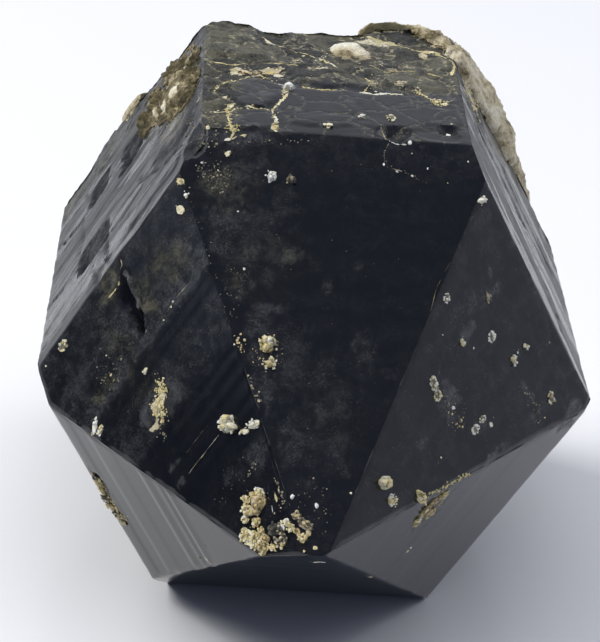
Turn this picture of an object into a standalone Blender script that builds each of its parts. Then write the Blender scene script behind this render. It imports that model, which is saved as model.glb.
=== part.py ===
"""A smoky quartz crystal lying on one prism face, with the feldspar crust it broke away with and
the small pale grains that grew on it. Metres, +Z up. The long axis runs along Y, the point is at
-Y, and the origin is on the floor under the middle of the whole piece."""

from math import cos, exp, radians, sin

import bmesh
import bpy
from mathutils import Matrix, Vector, noise

MM = 0.001

# Driving dimensions of the crystal
AXIS_HEIGHT = 27.0 * MM  # the axis above the floor
TIP_Y = -39.1 * MM  # the point of the crystal, along Y
BASE_Y = 71.6 * MM  # from the point to the middle of the broken base
BLOCK = 260.0 * MM  # the rough block that the faces are cut from
PYRAMID_LEAN = 51.8  # degrees between a pyramid face's normal and the axis, true for quartz
STEEP_LEAN = 53.3  # the same for the one face that grew a little steep
GAP = 0.3 * MM  # between the crystal and what sits on it

# Each prism face: its azimuth round the axis in degrees, and its distance from the axis
PRISM = {
    "top": (90, 27.0 * MM),
    "upper_left": (150, 25.85 * MM),
    "lower_left": (210, 26.1 * MM),
    "bottom": (270, 27.0 * MM),
    "lower_right": (330, 26.2 * MM),
    "upper_right": (30, 25.75 * MM),
}
# Each pyramid face: azimuth, lean, and distance from the point where the axis meets the tip level
PYRAMID = {
    "tip_top": (90, PYRAMID_LEAN, -1.4 * MM),
    "tip_upper_left": (150, PYRAMID_LEAN, 0.3 * MM),
    "tip_lower_left": (210, STEEP_LEAN, 3.6 * MM),
    "tip_bottom": (270, PYRAMID_LEAN, 1.0 * MM),
    "tip_lower_right": (330, PYRAMID_LEAN, 0.6 * MM),
    "tip_upper_right": (30, PYRAMID_LEAN, -0.4 * MM),
}

# The broken base: how it leans back towards the floor, its swells, and its roughness
BASE_LEAN = 0.15  # metres further back for each metre lower down
BASE_SWELLS = (  # x, z, reach and height of each swell
    (-24.0 * MM, 37.0 * MM, 8.0 * MM, 7.0 * MM),
    (8.0 * MM, 55.0 * MM, 5.0 * MM, 2.5 * MM),
    (14.0 * MM, 14.0 * MM, 10.0 * MM, -3.0 * MM),
    (-8.0 * MM, 26.0 * MM, 9.0 * MM, -4.0 * MM),
)
BASE_ROUGHNESS = ((9.0 * MM, 1.6 * MM), (3.5 * MM, 0.6 * MM))  # size and height of the relief
BASE_CELL = 2.6 * MM

# Chips: centre of the scooping ball from the tip level, its half axes, and its turn in degrees
CHIPS = {
    "chip_front_rim": ((6.0, 38.2, 57.4), (3.6, 3.2, 4.2), (0, 0, 0)),
    "chip_left_rim": ((-8.6, 35.3, 56.2), (7.4, 2.8, 2.6), (0, 0, 0)),
    "chip_corner": ((-15.9, 34.4, 53.7), (2.6, 5.2, 2.2), (0, 30, 0)),
    "chip_top": ((11.8, 40.2, 55.6), (1.7, 1.5, 2.2), (0, 0, 0)),
    "chip_edge": ((11.9, 22.6, 44.6), (1.0, 1.0, 4.0), (-40, 20, 0)),
    "chip_right_corner": ((31.2, 31.6, 26.2), (1.9, 2.2, 1.9), (0, 0, 0)),
    "chip_foot": ((-16.8, 28.2, 0.4), (2.2, 2.0, 2.2), (0, 0, 0)),
}
CHIP_ROUGHNESS = 0.12

# Crusts: centre from the tip level, half axes along and across the face and out of it, face, turn
CRUSTS = {
    "feldspar_crust_left_rim": ((-22.4, 73.5, 39.0), (5.2, 4.2, 1.4), "upper_left", 20),
    "feldspar_crust_corner": ((-17.0, 57.0, 49.4), (2.7, 6.4, 0.9), "upper_left", 8),
    "feldspar_crust_top": ((2.2, 61.6, 54.0), (2.9, 3.2, 0.8), "top", 0),
    "tip_crust_upper": ((-6.2, 7.0, 27.4), (2.2, 1.5, 1.1), "tip_upper_left", 80),
    "tip_crust_lower": ((-6.4, 4.9, 24.3), (1.7, 1.5, 1.1), "tip_upper_left", 60),
    "tip_crust_right": ((-2.3, 2.4, 27.2), (1.6, 1.3, 0.9), "tip_top", 20),
    "edge_crust_left": ((-22.8, 22.6, 24.0), (1.4, 0.9, 0.8), "tip_upper_left", 30),
    "edge_crust_lower_left": ((-20.9, 27.7, 13.0), (0.9, 2.6, 0.8), "tip_lower_left", -30),
    "edge_crust_right": ((11.7, 14.5, 23.0), (0.9, 3.4, 0.6), "tip_lower_right", 20),
}
CRUST_ROUGHNESS = 0.22

# The rim crust: points along the base's upper right rim from the tip level, with its radius there
RIM_CRUST = (
    (3.0, 69.5, 52.4, 1.1),
    (7.5, 70.5, 52.3, 1.7),
    (11.6, 69.0, 52.5, 1.9),
    (14.2, 67.5, 51.4, 2.2),
    (16.2, 67.5, 48.6, 2.6),
    (18.4, 70.0, 44.6, 3.0),
    (20.6, 72.0, 40.8, 2.7),
    (23.2, 73.5, 36.3, 2.2),
    (26.0, 75.0, 31.3, 1.5),
)
RIM_SIDES = 14
RIM_STEPS = 4  # rings between two points
RIM_STRETCH = 1.8  # how much further it reaches along the crystal than out of it

# Grains: the face, x and z as seen along the axis (x and y on the top), then length and width
GRAINS = (
    ("tip_top", -6.6, 50.6, 1.5, 1.5),
    ("tip_top", -4.6, 50.6, 1.7, 1.6),
    ("tip_top", -11.3, 51.8, 0.9, 0.8),
    ("tip_top", -6.4, 39.3, 1.7, 1.4),
    ("tip_top", -6.2, 37.7, 1.7, 1.5),
    ("tip_upper_right", 15.2, 50.0, 1.2, 1.1),
    ("tip_upper_left", -15.9, 49.9, 1.4, 1.2),
    ("tip_upper_left", -15.4, 48.6, 0.9, 0.8),
    ("tip_upper_left", -15.5, 47.2, 1.4, 1.2),
    ("tip_upper_left", -27.2, 30.3, 1.6, 1.1),
    ("tip_upper_left", -9.6, 32.3, 2.0, 1.6),
    ("tip_upper_left", -7.9, 32.5, 1.3, 1.1),
    ("tip_upper_left", -6.6, 33.2, 1.9, 1.5),
    ("tip_upper_left", -9.5, 39.0, 1.2, 0.9),
    ("tip_upper_left", -18.2, 32.3, 1.6, 0.6),
    ("tip_upper_right", 11.8, 42.5, 1.3, 1.0),
    ("tip_upper_right", 16.4, 40.9, 1.6, 0.8),
    ("tip_upper_right", 13.8, 38.0, 1.5, 0.8),
    ("tip_upper_right", 17.2, 37.1, 1.5, 0.9),
    ("tip_upper_right", 19.9, 34.0, 1.5, 0.8),
    ("tip_upper_right", 21.4, 34.7, 0.9, 0.7),
    ("tip_upper_right", 10.8, 35.7, 1.4, 0.8),
    ("tip_upper_right", 12.0, 33.6, 1.5, 0.8),
    ("tip_upper_right", 15.8, 29.6, 1.3, 0.8),
    ("tip_upper_right", 17.2, 30.0, 1.2, 0.7),
    ("tip_upper_right", 25.0, 28.8, 1.7, 0.9),
    ("tip_upper_right", 5.8, 29.3, 1.9, 1.2),
    ("tip_upper_right", 6.8, 27.2, 1.9, 1.2),
    ("tip_upper_right", 9.4, 27.0, 2.4, 0.9),
    ("top", -6.4, 38.6, 1.1, 1.1),
    ("top", 5.9, 43.0, 1.3, 1.2),
    ("top", 12.0, 47.1, 1.6, 0.9),
    ("top", -4.9, 48.9, 1.5, 0.8),
)
GRAIN_HEIGHT = 0.62  # how far a grain stands out, as a share of its width
GRAIN_SUNK = 0.25  # the share of its height that is cut off flat underneath
GRAIN_ROUGHNESS = 0.16

# Colour, roughness and metallic value of each material
MATERIALS = {
    "smoky_quartz": ((0.012, 0.011, 0.012), 0.08, 0.0),
    "feldspar": ((0.48, 0.42, 0.31), 0.75, 0.0),
    "tip_crust": ((0.62, 0.50, 0.25), 0.6, 0.0),
    "pale_grain": ((0.66, 0.65, 0.52), 0.4, 0.0),
}


def clear_scene():
    for thing in list(bpy.data.objects):
        bpy.data.objects.remove(thing, do_unlink=True)


def material(name):
    colour, roughness, metallic = MATERIALS[name]
    found = bpy.data.materials.get(name) or bpy.data.materials.new(name)
    found.use_nodes = True
    shader = found.node_tree.nodes["Principled BSDF"]
    shader.inputs["Base Color"].default_value = (*colour, 1.0)
    shader.inputs["Roughness"].default_value = roughness
    shader.inputs["Metallic"].default_value = metallic
    return found


def object_from(bm, name, finish):
    mesh = bpy.data.meshes.new(name)
    bm.to_mesh(mesh)
    bm.free()
    mesh.materials.append(material(finish))
    thing = bpy.data.objects.new(name, mesh)
    bpy.context.scene.collection.objects.link(thing)
    return thing


def as_cutter(thing):
    thing.hide_render = True
    thing.display_type = "WIRE"
    return thing


def cut_away(thing, cutter):
    cut = thing.modifiers.new(cutter.name, "BOOLEAN")
    cut.operation = "DIFFERENCE"
    cut.solver = "EXACT"
    cut.object = cutter


def from_tip(x, y, z):
    """A place given in millimetres from the tip level and the floor."""
    return Vector((x * MM, y * MM + TIP_Y, z * MM))


def face_normal(azimuth, lean=90):
    """Unit normal of a crystal face; the axis points along -Y."""
    swing, tilt = radians(azimuth), radians(lean)
    return Vector((sin(tilt) * cos(swing), -cos(tilt), sin(tilt) * sin(swing)))


def face_planes():
    """Normal and distance from the tip's axis point of every face, by name."""
    planes = {name: (face_normal(azimuth), reach) for name, (azimuth, reach) in PRISM.items()}
    for name, (azimuth, lean, reach) in PYRAMID.items():
        planes[name] = (face_normal(azimuth, lean), reach)
    return planes


PLANES = face_planes()
AXIS_POINT = Vector((0.0, TIP_Y, AXIS_HEIGHT))


def faceted_body(extra=0.0):
    """The crystal with every face, its back still a plain block end; extra thickens it."""
    bm = bmesh.new()
    bmesh.ops.create_cube(bm, size=BLOCK, matrix=Matrix.Translation(AXIS_POINT))
    for normal, reach in PLANES.values():
        everything = bm.verts[:] + bm.edges[:] + bm.faces[:]
        cut = bmesh.ops.bisect_plane(
            bm, geom=everything, plane_co=AXIS_POINT + normal * (reach + extra),
            plane_no=normal, clear_outer=True,
        )
        rim = [piece for piece in cut["geom_cut"] if isinstance(piece, bmesh.types.BMEdge)]
        bmesh.ops.contextual_create(bm, geom=rim)
    bmesh.ops.recalc_face_normals(bm, faces=bm.faces[:])
    return bm


def rough(place, seed, layers):
    """Relief at a place: the sum of noise layers, each with a size and a height."""
    return sum(noise.noise(place / size + seed) * height for size, height in layers)


def base_depth(x, z):
    """How far behind the tip level the broken base lies at x and z."""
    depth = BASE_Y + (AXIS_HEIGHT - z) * BASE_LEAN
    for mid_x, mid_z, reach, height in BASE_SWELLS:
        away = ((x - mid_x) ** 2 + (z - mid_z) ** 2) / reach**2
        depth += height * exp(-away)
    return depth + rough(Vector((x, 0.0, z)), Vector((3.1, 7.7, 1.9)), BASE_ROUGHNESS)


def base_break(name, back=0.0):
    """Cutter behind the crystal whose front is the broken surface, set back by back."""
    bm = bmesh.new()
    side = 72.0 * MM
    cells = round(side / BASE_CELL)
    stand_up = Matrix.Translation((0.0, 0.0, AXIS_HEIGHT)) @ Matrix.Rotation(radians(90), 4, "X")
    bmesh.ops.create_grid(
        bm, x_segments=cells, y_segments=cells, size=side / 2, matrix=stand_up,
    )
    for vert in bm.verts:
        vert.co.y = TIP_Y + base_depth(vert.co.x, vert.co.z) + back
    sheet = bm.faces[:]
    grown = bmesh.ops.extrude_face_region(bm, geom=sheet, use_keep_orig=True)
    for piece in grown["geom"]:
        if isinstance(piece, bmesh.types.BMVert):
            piece.co.y = BLOCK
    bmesh.ops.recalc_face_normals(bm, faces=bm.faces[:])
    return as_cutter(object_from(bm, name, "smoky_quartz"))


def lump(centre, half_axes, turn, roughness, seed, subdivisions):
    """A ball stretched to its half axes, roughened, and set at its place with its turn."""
    bm = bmesh.new()
    bmesh.ops.create_icosphere(bm, subdivisions=subdivisions, radius=1.0)
    for vert in bm.verts:
        swell = noise.noise(vert.co * 1.7 + Vector((seed, 2.3 * seed, 0.7 * seed)))
        vert.co *= 1.0 + roughness * swell
    stretch = Matrix.Diagonal((*(axis * MM for axis in half_axes), 1.0))
    bmesh.ops.transform(bm, matrix=Matrix.Translation(centre) @ turn @ stretch, verts=bm.verts)
    return bm


def scooped(name, seed):
    centre, half_axes, turn = CHIPS[name]
    x, y, z = (radians(angle) for angle in turn)
    turned = Matrix.Rotation(z, 4, "Z") @ Matrix.Rotation(y, 4, "Y") @ Matrix.Rotation(x, 4, "X")
    bm = lump(from_tip(*centre), half_axes, turned, CHIP_ROUGHNESS, seed, 3)
    return as_cutter(object_from(bm, name, "smoky_quartz"))


def face_frame(face, turn=0.0):
    """Axes on a face: along its level lines, up the face, and out of it, turned in the face."""
    normal = PLANES[face][0]
    along = Vector((0.0, 1.0, 0.0)).cross(normal).normalized()
    up = normal.cross(along)
    frame = Matrix((along, up, normal)).transposed().to_4x4()
    return frame @ Matrix.Rotation(radians(turn), 4, "Z")


def on_face(face, x, other):
    """The point of a face at x and z, or at x and y for the level top."""
    normal, reach = PLANES[face]
    if face == "top":
        return Vector((x * MM, other * MM + TIP_Y, AXIS_HEIGHT + reach))
    x, z = x * MM, other * MM
    sideways = normal.x * x + normal.z * (z - AXIS_HEIGHT)
    return Vector((x, TIP_Y + (reach - sideways) / normal.y, z))


def make_crystal(breaker):
    crystal = object_from(faceted_body(), "smoky_quartz_crystal", "smoky_quartz")
    cut_away(crystal, breaker)
    for seed, name in enumerate(CHIPS, start=1):
        cut_away(crystal, scooped(name, seed))


def make_crusts(shell):
    for seed, (name, (centre, half_axes, face, turn)) in enumerate(CRUSTS.items(), start=11):
        finish = "tip_crust" if name.startswith("tip") else "feldspar"
        turned = face_frame(face, turn)
        bm = lump(from_tip(*centre), half_axes, turned, CRUST_ROUGHNESS, seed, 2)
        cut_away(object_from(bm, name, finish), shell)


def smooth_path(stations, t):
    """A point and radius on a smooth curve through the stations; t counts stations."""
    i = min(int(t), len(stations) - 2)
    near = [stations[max(0, min(len(stations) - 1, i + k))] for k in (-1, 0, 1, 2)]
    u = t - i
    return [
        0.5 * (2 * b + (c - a) * u + (2 * a - 5 * b + 4 * c - d) * u * u
               + (3 * b - a - 3 * c + d) * u**3)
        for a, b, c, d in zip(*near)
    ]


def make_rim_crust(shell):
    """Lumpy feldspar that follows the base's rim, closed by rounded ends."""
    count = (len(RIM_CRUST) - 1) * RIM_STEPS
    stations = [smooth_path(RIM_CRUST, i / RIM_STEPS) for i in range(count + 1)]
    places = [from_tip(*station[:3]) for station in stations]
    bm = bmesh.new()
    rings = []
    for i, (place, station) in enumerate(zip(places, stations)):
        ahead = places[min(i + 1, count)] - places[max(i - 1, 0)]
        side = ahead.cross(Vector((0.0, 1.0, 0.0))).normalized()
        over = side.cross(ahead).normalized()
        end_distance = min(i, count - i)
        radius = station[3] * MM * (0.55 if end_distance == 0 else 0.85 if end_distance == 1 else 1.0)
        ring = []
        for k in range(RIM_SIDES):
            angle = radians(360.0 * k / RIM_SIDES)
            outward = side * cos(angle) + over * sin(angle) * RIM_STRETCH
            swell = 1.0 + rough(place + outward * radius, Vector((5.0, 1.0, 9.0)), ((4 * MM, 0.5),))
            ring.append(bm.verts.new(place + outward * radius * swell))
        rings.append(ring)
    for first, second in zip(rings, rings[1:]):
        for k in range(RIM_SIDES):
            n = (k + 1) % RIM_SIDES
            bm.faces.new((first[k], first[n], second[n], second[k]))
    bm.faces.new(rings[0])
    bm.faces.new(rings[-1])
    bmesh.ops.recalc_face_normals(bm, faces=bm.faces[:])
    cut_away(object_from(bm, "feldspar_crust_rim", "feldspar"), shell)


def make_grains():
    for number, (face, x, other, length, width) in enumerate(GRAINS, start=1):
        normal = PLANES[face][0]
        place = on_face(face, x, other)
        turned = face_frame(face, 90 + 37 * sin(number))
        half_height = width * GRAIN_HEIGHT / (2 - GRAIN_SUNK)
        middle = place + normal * (GAP + half_height * (1 - GRAIN_SUNK) * MM)
        bm = lump(middle, (length / 2, width / 2, half_height), turned, GRAIN_ROUGHNESS, number, 1)
        everything = bm.verts[:] + bm.edges[:] + bm.faces[:]
        cut = bmesh.ops.bisect_plane(
            bm, geom=everything, plane_co=place + normal * GAP, plane_no=normal, clear_inner=True,
        )
        rim = [piece for piece in cut["geom_cut"] if isinstance(piece, bmesh.types.BMEdge)]
        bmesh.ops.contextual_create(bm, geom=rim)
        bmesh.ops.recalc_face_normals(bm, faces=bm.faces[:])
        object_from(bm, f"grain_{number:02d}", "pale_grain")


def build():
    clear_scene()
    make_crystal(base_break("base_break"))
    shell = as_cutter(object_from(faceted_body(GAP), "crystal_with_gap", "smoky_quartz"))
    cut_away(shell, base_break("base_break_with_gap", GAP))
    make_crusts(shell)
    make_rim_crust(shell)
    make_grains()


build()
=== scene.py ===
import math

import bpy
import numpy as np
from mathutils import Matrix, Vector, noise
from mathutils.bvhtree import BVHTree


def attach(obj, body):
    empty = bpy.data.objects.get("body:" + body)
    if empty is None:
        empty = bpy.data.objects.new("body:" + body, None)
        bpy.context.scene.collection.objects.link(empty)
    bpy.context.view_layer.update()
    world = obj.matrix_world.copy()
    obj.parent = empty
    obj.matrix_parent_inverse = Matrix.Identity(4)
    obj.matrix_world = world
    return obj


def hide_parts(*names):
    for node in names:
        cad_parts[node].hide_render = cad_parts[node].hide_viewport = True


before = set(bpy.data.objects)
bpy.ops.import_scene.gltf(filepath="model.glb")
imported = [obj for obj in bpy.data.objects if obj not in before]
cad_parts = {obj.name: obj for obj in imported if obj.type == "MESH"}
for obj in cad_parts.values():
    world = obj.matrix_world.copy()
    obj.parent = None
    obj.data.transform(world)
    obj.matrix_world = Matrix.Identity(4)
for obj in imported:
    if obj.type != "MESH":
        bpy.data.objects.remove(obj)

mm = 0.001
tipY = -39.1  # the tip's level in the frame, in mm; every y below counts back from it
axisZ = 27.0  # height of the crystal's long axis above the floor, in mm
axisPoint = np.array([0.0, tipY, axisZ])
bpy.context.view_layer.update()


# small helpers

def say(text):
    print("smoky quartz:", text)


def pick(*objs):
    # selects these objects, the first of them as the active one
    bpy.ops.object.select_all(action="DESELECT")
    for obj in objs:
        obj.select_set(True)
    bpy.context.view_layer.objects.active = objs[0]


def named(name):
    obj = bpy.context.object
    obj.name = name
    obj.data.name = name
    return obj


def joinAll(name, objs):
    pick(*objs)
    bpy.ops.object.join()
    return named(name)


def removeAll(*objs):
    pick(*objs)
    bpy.ops.object.delete()


def ownCopy(obj):
    one = obj.copy()
    one.data = obj.data.copy()
    bpy.context.scene.collection.objects.link(one)
    return one


def triples(items, key):
    out = np.zeros(len(items) * 3)
    items.foreach_get(key, out)
    return out.reshape(-1, 3)


def points(obj):
    return triples(obj.data.vertices, "co")


def movePoints(obj, co):
    obj.data.vertices.foreach_set("co", np.asarray(co, dtype=np.float64).reshape(-1))
    obj.data.update()


def useModifier(obj, kind, **settings):
    pick(obj)
    mod = obj.modifiers.new(kind.title(), kind)
    for key, value in settings.items():
        setattr(mod, key, value)
    bpy.ops.object.modifier_apply(modifier=mod.name)


def remeshed(obj, voxel, smoothing):
    useModifier(obj, "REMESH", mode="VOXEL", voxel_size=voxel * mm, adaptivity=0)
    useModifier(obj, "SMOOTH", factor=0.5, iterations=smoothing)


def inEdit(obj, *jobs):
    pick(obj)
    bpy.ops.object.mode_set(mode="EDIT")
    bpy.ops.mesh.select_all(action="SELECT")
    for job, settings in jobs:
        getattr(bpy.ops.mesh, job)(**settings)
    bpy.ops.object.mode_set(mode="OBJECT")


faceOutwards = ("normals_make_consistent", {"inside": False})


def smoothShade(obj, angle):
    pick(obj)
    bpy.ops.object.shade_smooth_by_angle(angle=math.radians(angle))


def addLayer(obj, name, values):
    layer = obj.data.attributes.new(name=name, type="FLOAT", domain="POINT")
    layer.data.foreach_set("value", np.asarray(values, dtype=np.float32).reshape(-1))


def gridOf(name, columns, rows):
    # a flat grid, and the column and row of each of its points
    bpy.ops.mesh.primitive_grid_add(x_subdivisions=columns - 1, y_subdivisions=rows - 1, size=1)
    grid = named(name)
    at = (points(grid)[:, :2] + 0.5) * (columns - 1, rows - 1)
    col, row = np.rint(at).astype(int).T
    return grid, col, row


def treeOf(obj):
    return BVHTree.FromPolygons([v.co[:] for v in obj.data.vertices], [q.vertices[:] for q in obj.data.polygons])


def rowsOf(groups):
    # a group is a word and its rows; the word is put in front of each row
    return [(word, *row) for word, rows in groups for row in rows]


def step(x, low, high):
    t = np.clip((x - low) / (high - low), 0, 1)
    return t * t * (3 - 2 * t)


def bumps(a, b, size, seed):
    # soft random bumps between -1 and 1 over the plane a, b, about one for each size
    side = 128
    table = np.random.default_rng(seed).uniform(-1, 1, (side, side))
    a = np.asarray(a, float) / size + 40.37  # shifted, so that no face starts on the table's border
    b = np.asarray(b, float) / size + 40.71
    ia, ib = np.floor(a).astype(int), np.floor(b).astype(int)
    fa, fb = a - ia, b - ib
    fa, fb = fa * fa * (3 - 2 * fa), fb * fb * (3 - 2 * fb)
    low, high = (table[ia % side, j % side] * (1 - fa) + table[(ia + 1) % side, j % side] * fa for j in (ib, ib + 1))
    return low * (1 - fb) + high * fb


def rubble(a, b, size, seed):
    total, share = 0.0, 1.0
    for k in range(3):
        total = total + share * bumps(a, b, size / 2 ** k, seed + 17 * k)
        share *= 0.55
    return total


def nearLine(u, y, path):
    # distance in mm from each point to a bent line on the face
    best = np.full(np.shape(u), 1e9)
    for (u0, y0), (u1, y1) in zip(path[:-1], path[1:]):
        du, dy = u1 - u0, y1 - y0
        t = np.clip(((u - u0) * du + (y - y0) * dy) / (du * du + dy * dy), 0, 1)
        best = np.minimum(best, np.hypot(u - u0 - t * du, y - y0 - t * dy))
    return best


def spun(across, up, angle):
    # both directions turned in their plane
    c, s = math.cos(angle), math.sin(angle)
    return across * c + up * s, up * c - across * s


# the crystal's six sides, in order round the axis as seen from the tip

sideSettings = {
    "upperLeft": {"azimuth": 150, "lean": 51.8, "columns": 76},
    "top": {"azimuth": 90, "lean": 51.8, "columns": 86},
    "upperRight": {"azimuth": 30, "lean": 51.8, "columns": 62},
    "lowerRight": {"azimuth": 330, "lean": 51.8, "columns": 40},
    "bottom": {"azimuth": 270, "lean": 51.8, "columns": 28},
    "lowerLeft": {"azimuth": 210, "lean": 53.3, "columns": 42},
}
sideNames = list(sideSettings)


def outward(azimuth, lean=90.0):
    a, b = math.radians(azimuth), math.radians(lean)
    return np.array([math.sin(b) * math.cos(a), -math.cos(b), math.sin(b) * math.sin(a)])


def measureSides():
    # the distance of every face from the axis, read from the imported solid
    co = points(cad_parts["smoky_quartz_crystal"]) / mm - axisPoint
    for side in sideSettings.values():
        around, lean = math.radians(side["azimuth"]), math.radians(side["lean"])
        side["out"] = outward(side["azimuth"])
        side["slope"] = outward(side["azimuth"], side["lean"])
        side["along"] = np.array([math.sin(around), 0.0, -math.cos(around)])
        side["prism"] = float((co @ side["out"]).max())
        side["point"] = float((co @ side["slope"]).max())
        side["shoulder"] = (side["prism"] * math.sin(lean) - side["point"]) / math.cos(lean)


def reach(side, y):
    lean = math.radians(side["lean"])
    return np.minimum(side["prism"], (side["point"] + y * math.cos(lean)) / math.sin(lean))


def sections(rows):
    # both ends of every side's line in each cross-section, as distances along the side
    dist = np.array([reach(sideSettings[n], rows) for n in sideNames])
    low = np.full(dist.shape, -1e9)
    high = np.full(dist.shape, 1e9)
    for i, a in enumerate(sideNames):
        for k, b in enumerate(sideNames):
            lean = float(sideSettings[b]["out"] @ sideSettings[a]["along"])
            if i == k or abs(lean) < 1e-6:
                continue
            edge = (dist[k] - dist[i] * float(sideSettings[a]["out"] @ sideSettings[b]["out"])) / lean
            if lean > 0:
                high[i] = np.minimum(high[i], edge)
            else:
                low[i] = np.maximum(low[i], edge)
    return dist, low, high


def faceFrame(name, y):
    # two directions on the face and the one out of it
    side = sideSettings[name]
    out = side["slope"] if y < side["shoulder"] else side["out"]
    up = np.array([0.0, 1.0, 0.0]) if abs(out[2]) > 0.95 else np.array([0.0, 0.0, 1.0])
    up = up - out * float(out @ up)
    up /= np.linalg.norm(up)
    return np.cross(up, out), up, out


def onFace(tree, name, u, y):
    # the place in mm on the finished surface
    side = sideSettings[name]
    out = faceFrame(name, y)[2]
    flat = side["out"] * float(reach(side, y)) + side["along"] * u + np.array([0.0, tipY + y, axisZ])
    hit = tree.ray_cast(Vector((flat + out * 1.5) * mm), Vector(-out), 0.005)[0]
    return np.array(hit) / mm if hit else flat


# relief and colour of the faces; u runs along a side in mm, y back from the tip level in mm

growthLines = {  # y, height and width of each small riser on the pyramid faces
    "upperLeft": [
        (9.6, 0.03, 0.5), (12.3, 0.03, 0.3), (12.9, -0.04, 0.3), (13.4, 0.05, 0.3), (14.2, -0.03, 0.35),
        (15, 0.05, 0.35), (15.6, -0.05, 0.3), (16.35, 0.05, 0.3), (16.9, -0.05, 0.3), (17.6, 0.06, 0.35),
        (18.2, 0.03, 0.4), (21.6, 0.012, 0.5), (22.75, 0.035, 0.6), (23.6, 0.03, 0.5), (24.65, -0.06, 0.3),
        (26.4, 0.01, 0.4), (28.95, 0.02, 0.3), (30.1, 0.015, 0.5),
    ],
    "top": [
        (20.85, 0.008, 0.5), (23.05, 0.012, 0.6), (26.6, 0.006, 0.5), (29.2, 0.004, 0.5), (31.9, 0.012, 0.6),
        (34.2, 0.006, 0.5),
    ],
    "upperRight": [(12.7, 0.004, 0.4), (19.9, 0.006, 0.5), (24.7, 0.008, 0.5), (29.6, 0.008, 0.5)],
    "lowerLeft": [
        (13.5, 0.03, 0.5), (14.55, -0.11, 0.5), (15.7, -0.05, 0.4), (16.8, 0.05, 0.6), (17.9, -0.09, 0.6),
        (21.2, 0.04, 0.9), (24.2, -0.06, 0.6), (26.7, 0.06, 0.7),
    ],
    "lowerRight": [(9.4, -0.015, 0.7), (16.4, 0.02, 0.9), (20.2, -0.02, 1.2), (24.3, 0.02, 1.2)],
    "bottom": [(9, 0.02, 0.4), (10.2, -0.02, 0.4), (12.6, 0.02, 0.4), (20, 0.01, 0.6)],
}
plateLists = {  # u, y, half width, half length, height and corner of each growth plate
    "top": [
        (-8.8, 39.8, 2.1, 2.7, 0.16, 0.8), (-8.6, 47.2, 3.1, 3.9, 0.22, 2.6), (-1.6, 44, 3.6, 5.2, 0.16, 0.5),
        (1.2, 39.8, 3.9, 2.2, 0.05, 1.8), (8, 44.4, 5.3, 4.6, 0.1, 0.8), (11.2, 39.6, 2, 2, -0.12, 1.2),
        (-12.9, 40, 1.3, 3.2, -0.2, 0.6), (9.5, 53.6, 3.2, 2.6, 0.24, 1), (0.5, 54, 5, 3.4, 0.22, 1.6),
        (-11, 62, 3.6, 4.5, 0.28, 1.8),
    ],
    "upperLeft": [
        (-5.4, 45.2, 2.8, 3, -1.1, 1), (-4.4, 37.6, 1.1, 3.6, 0.1, 0.5), (1, 59.6, 1.9, 4.4, -1.4, 0.9),
        (-5.8, 62.2, 1.9, 2.6, -0.8, 0.8), (7.6, 36.6, 4.6, 1.4, 0.14, 0.8),
    ],
    "upperRight": [(-5, 50.8, 7, 1.6, -0.16, 0.8), (4, 57.8, 7, 1.8, 0.16, 0.8), (3, 40.8, 6, 1.2, 0.12, 0.8)],
    "lowerLeft": [(4, 40, 6, 5, 0.12, 1.6), (-8, 47, 5, 8, -0.14, 1.6), (6, 58, 6, 6, 0.18, 2)],
    "lowerRight": [(-5, 42, 6, 6, 0.14, 1.6), (7, 50, 6, 9, -0.14, 1.6), (-6, 61, 5, 6, 0.18, 2)],
    "bottom": [],
}
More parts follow.
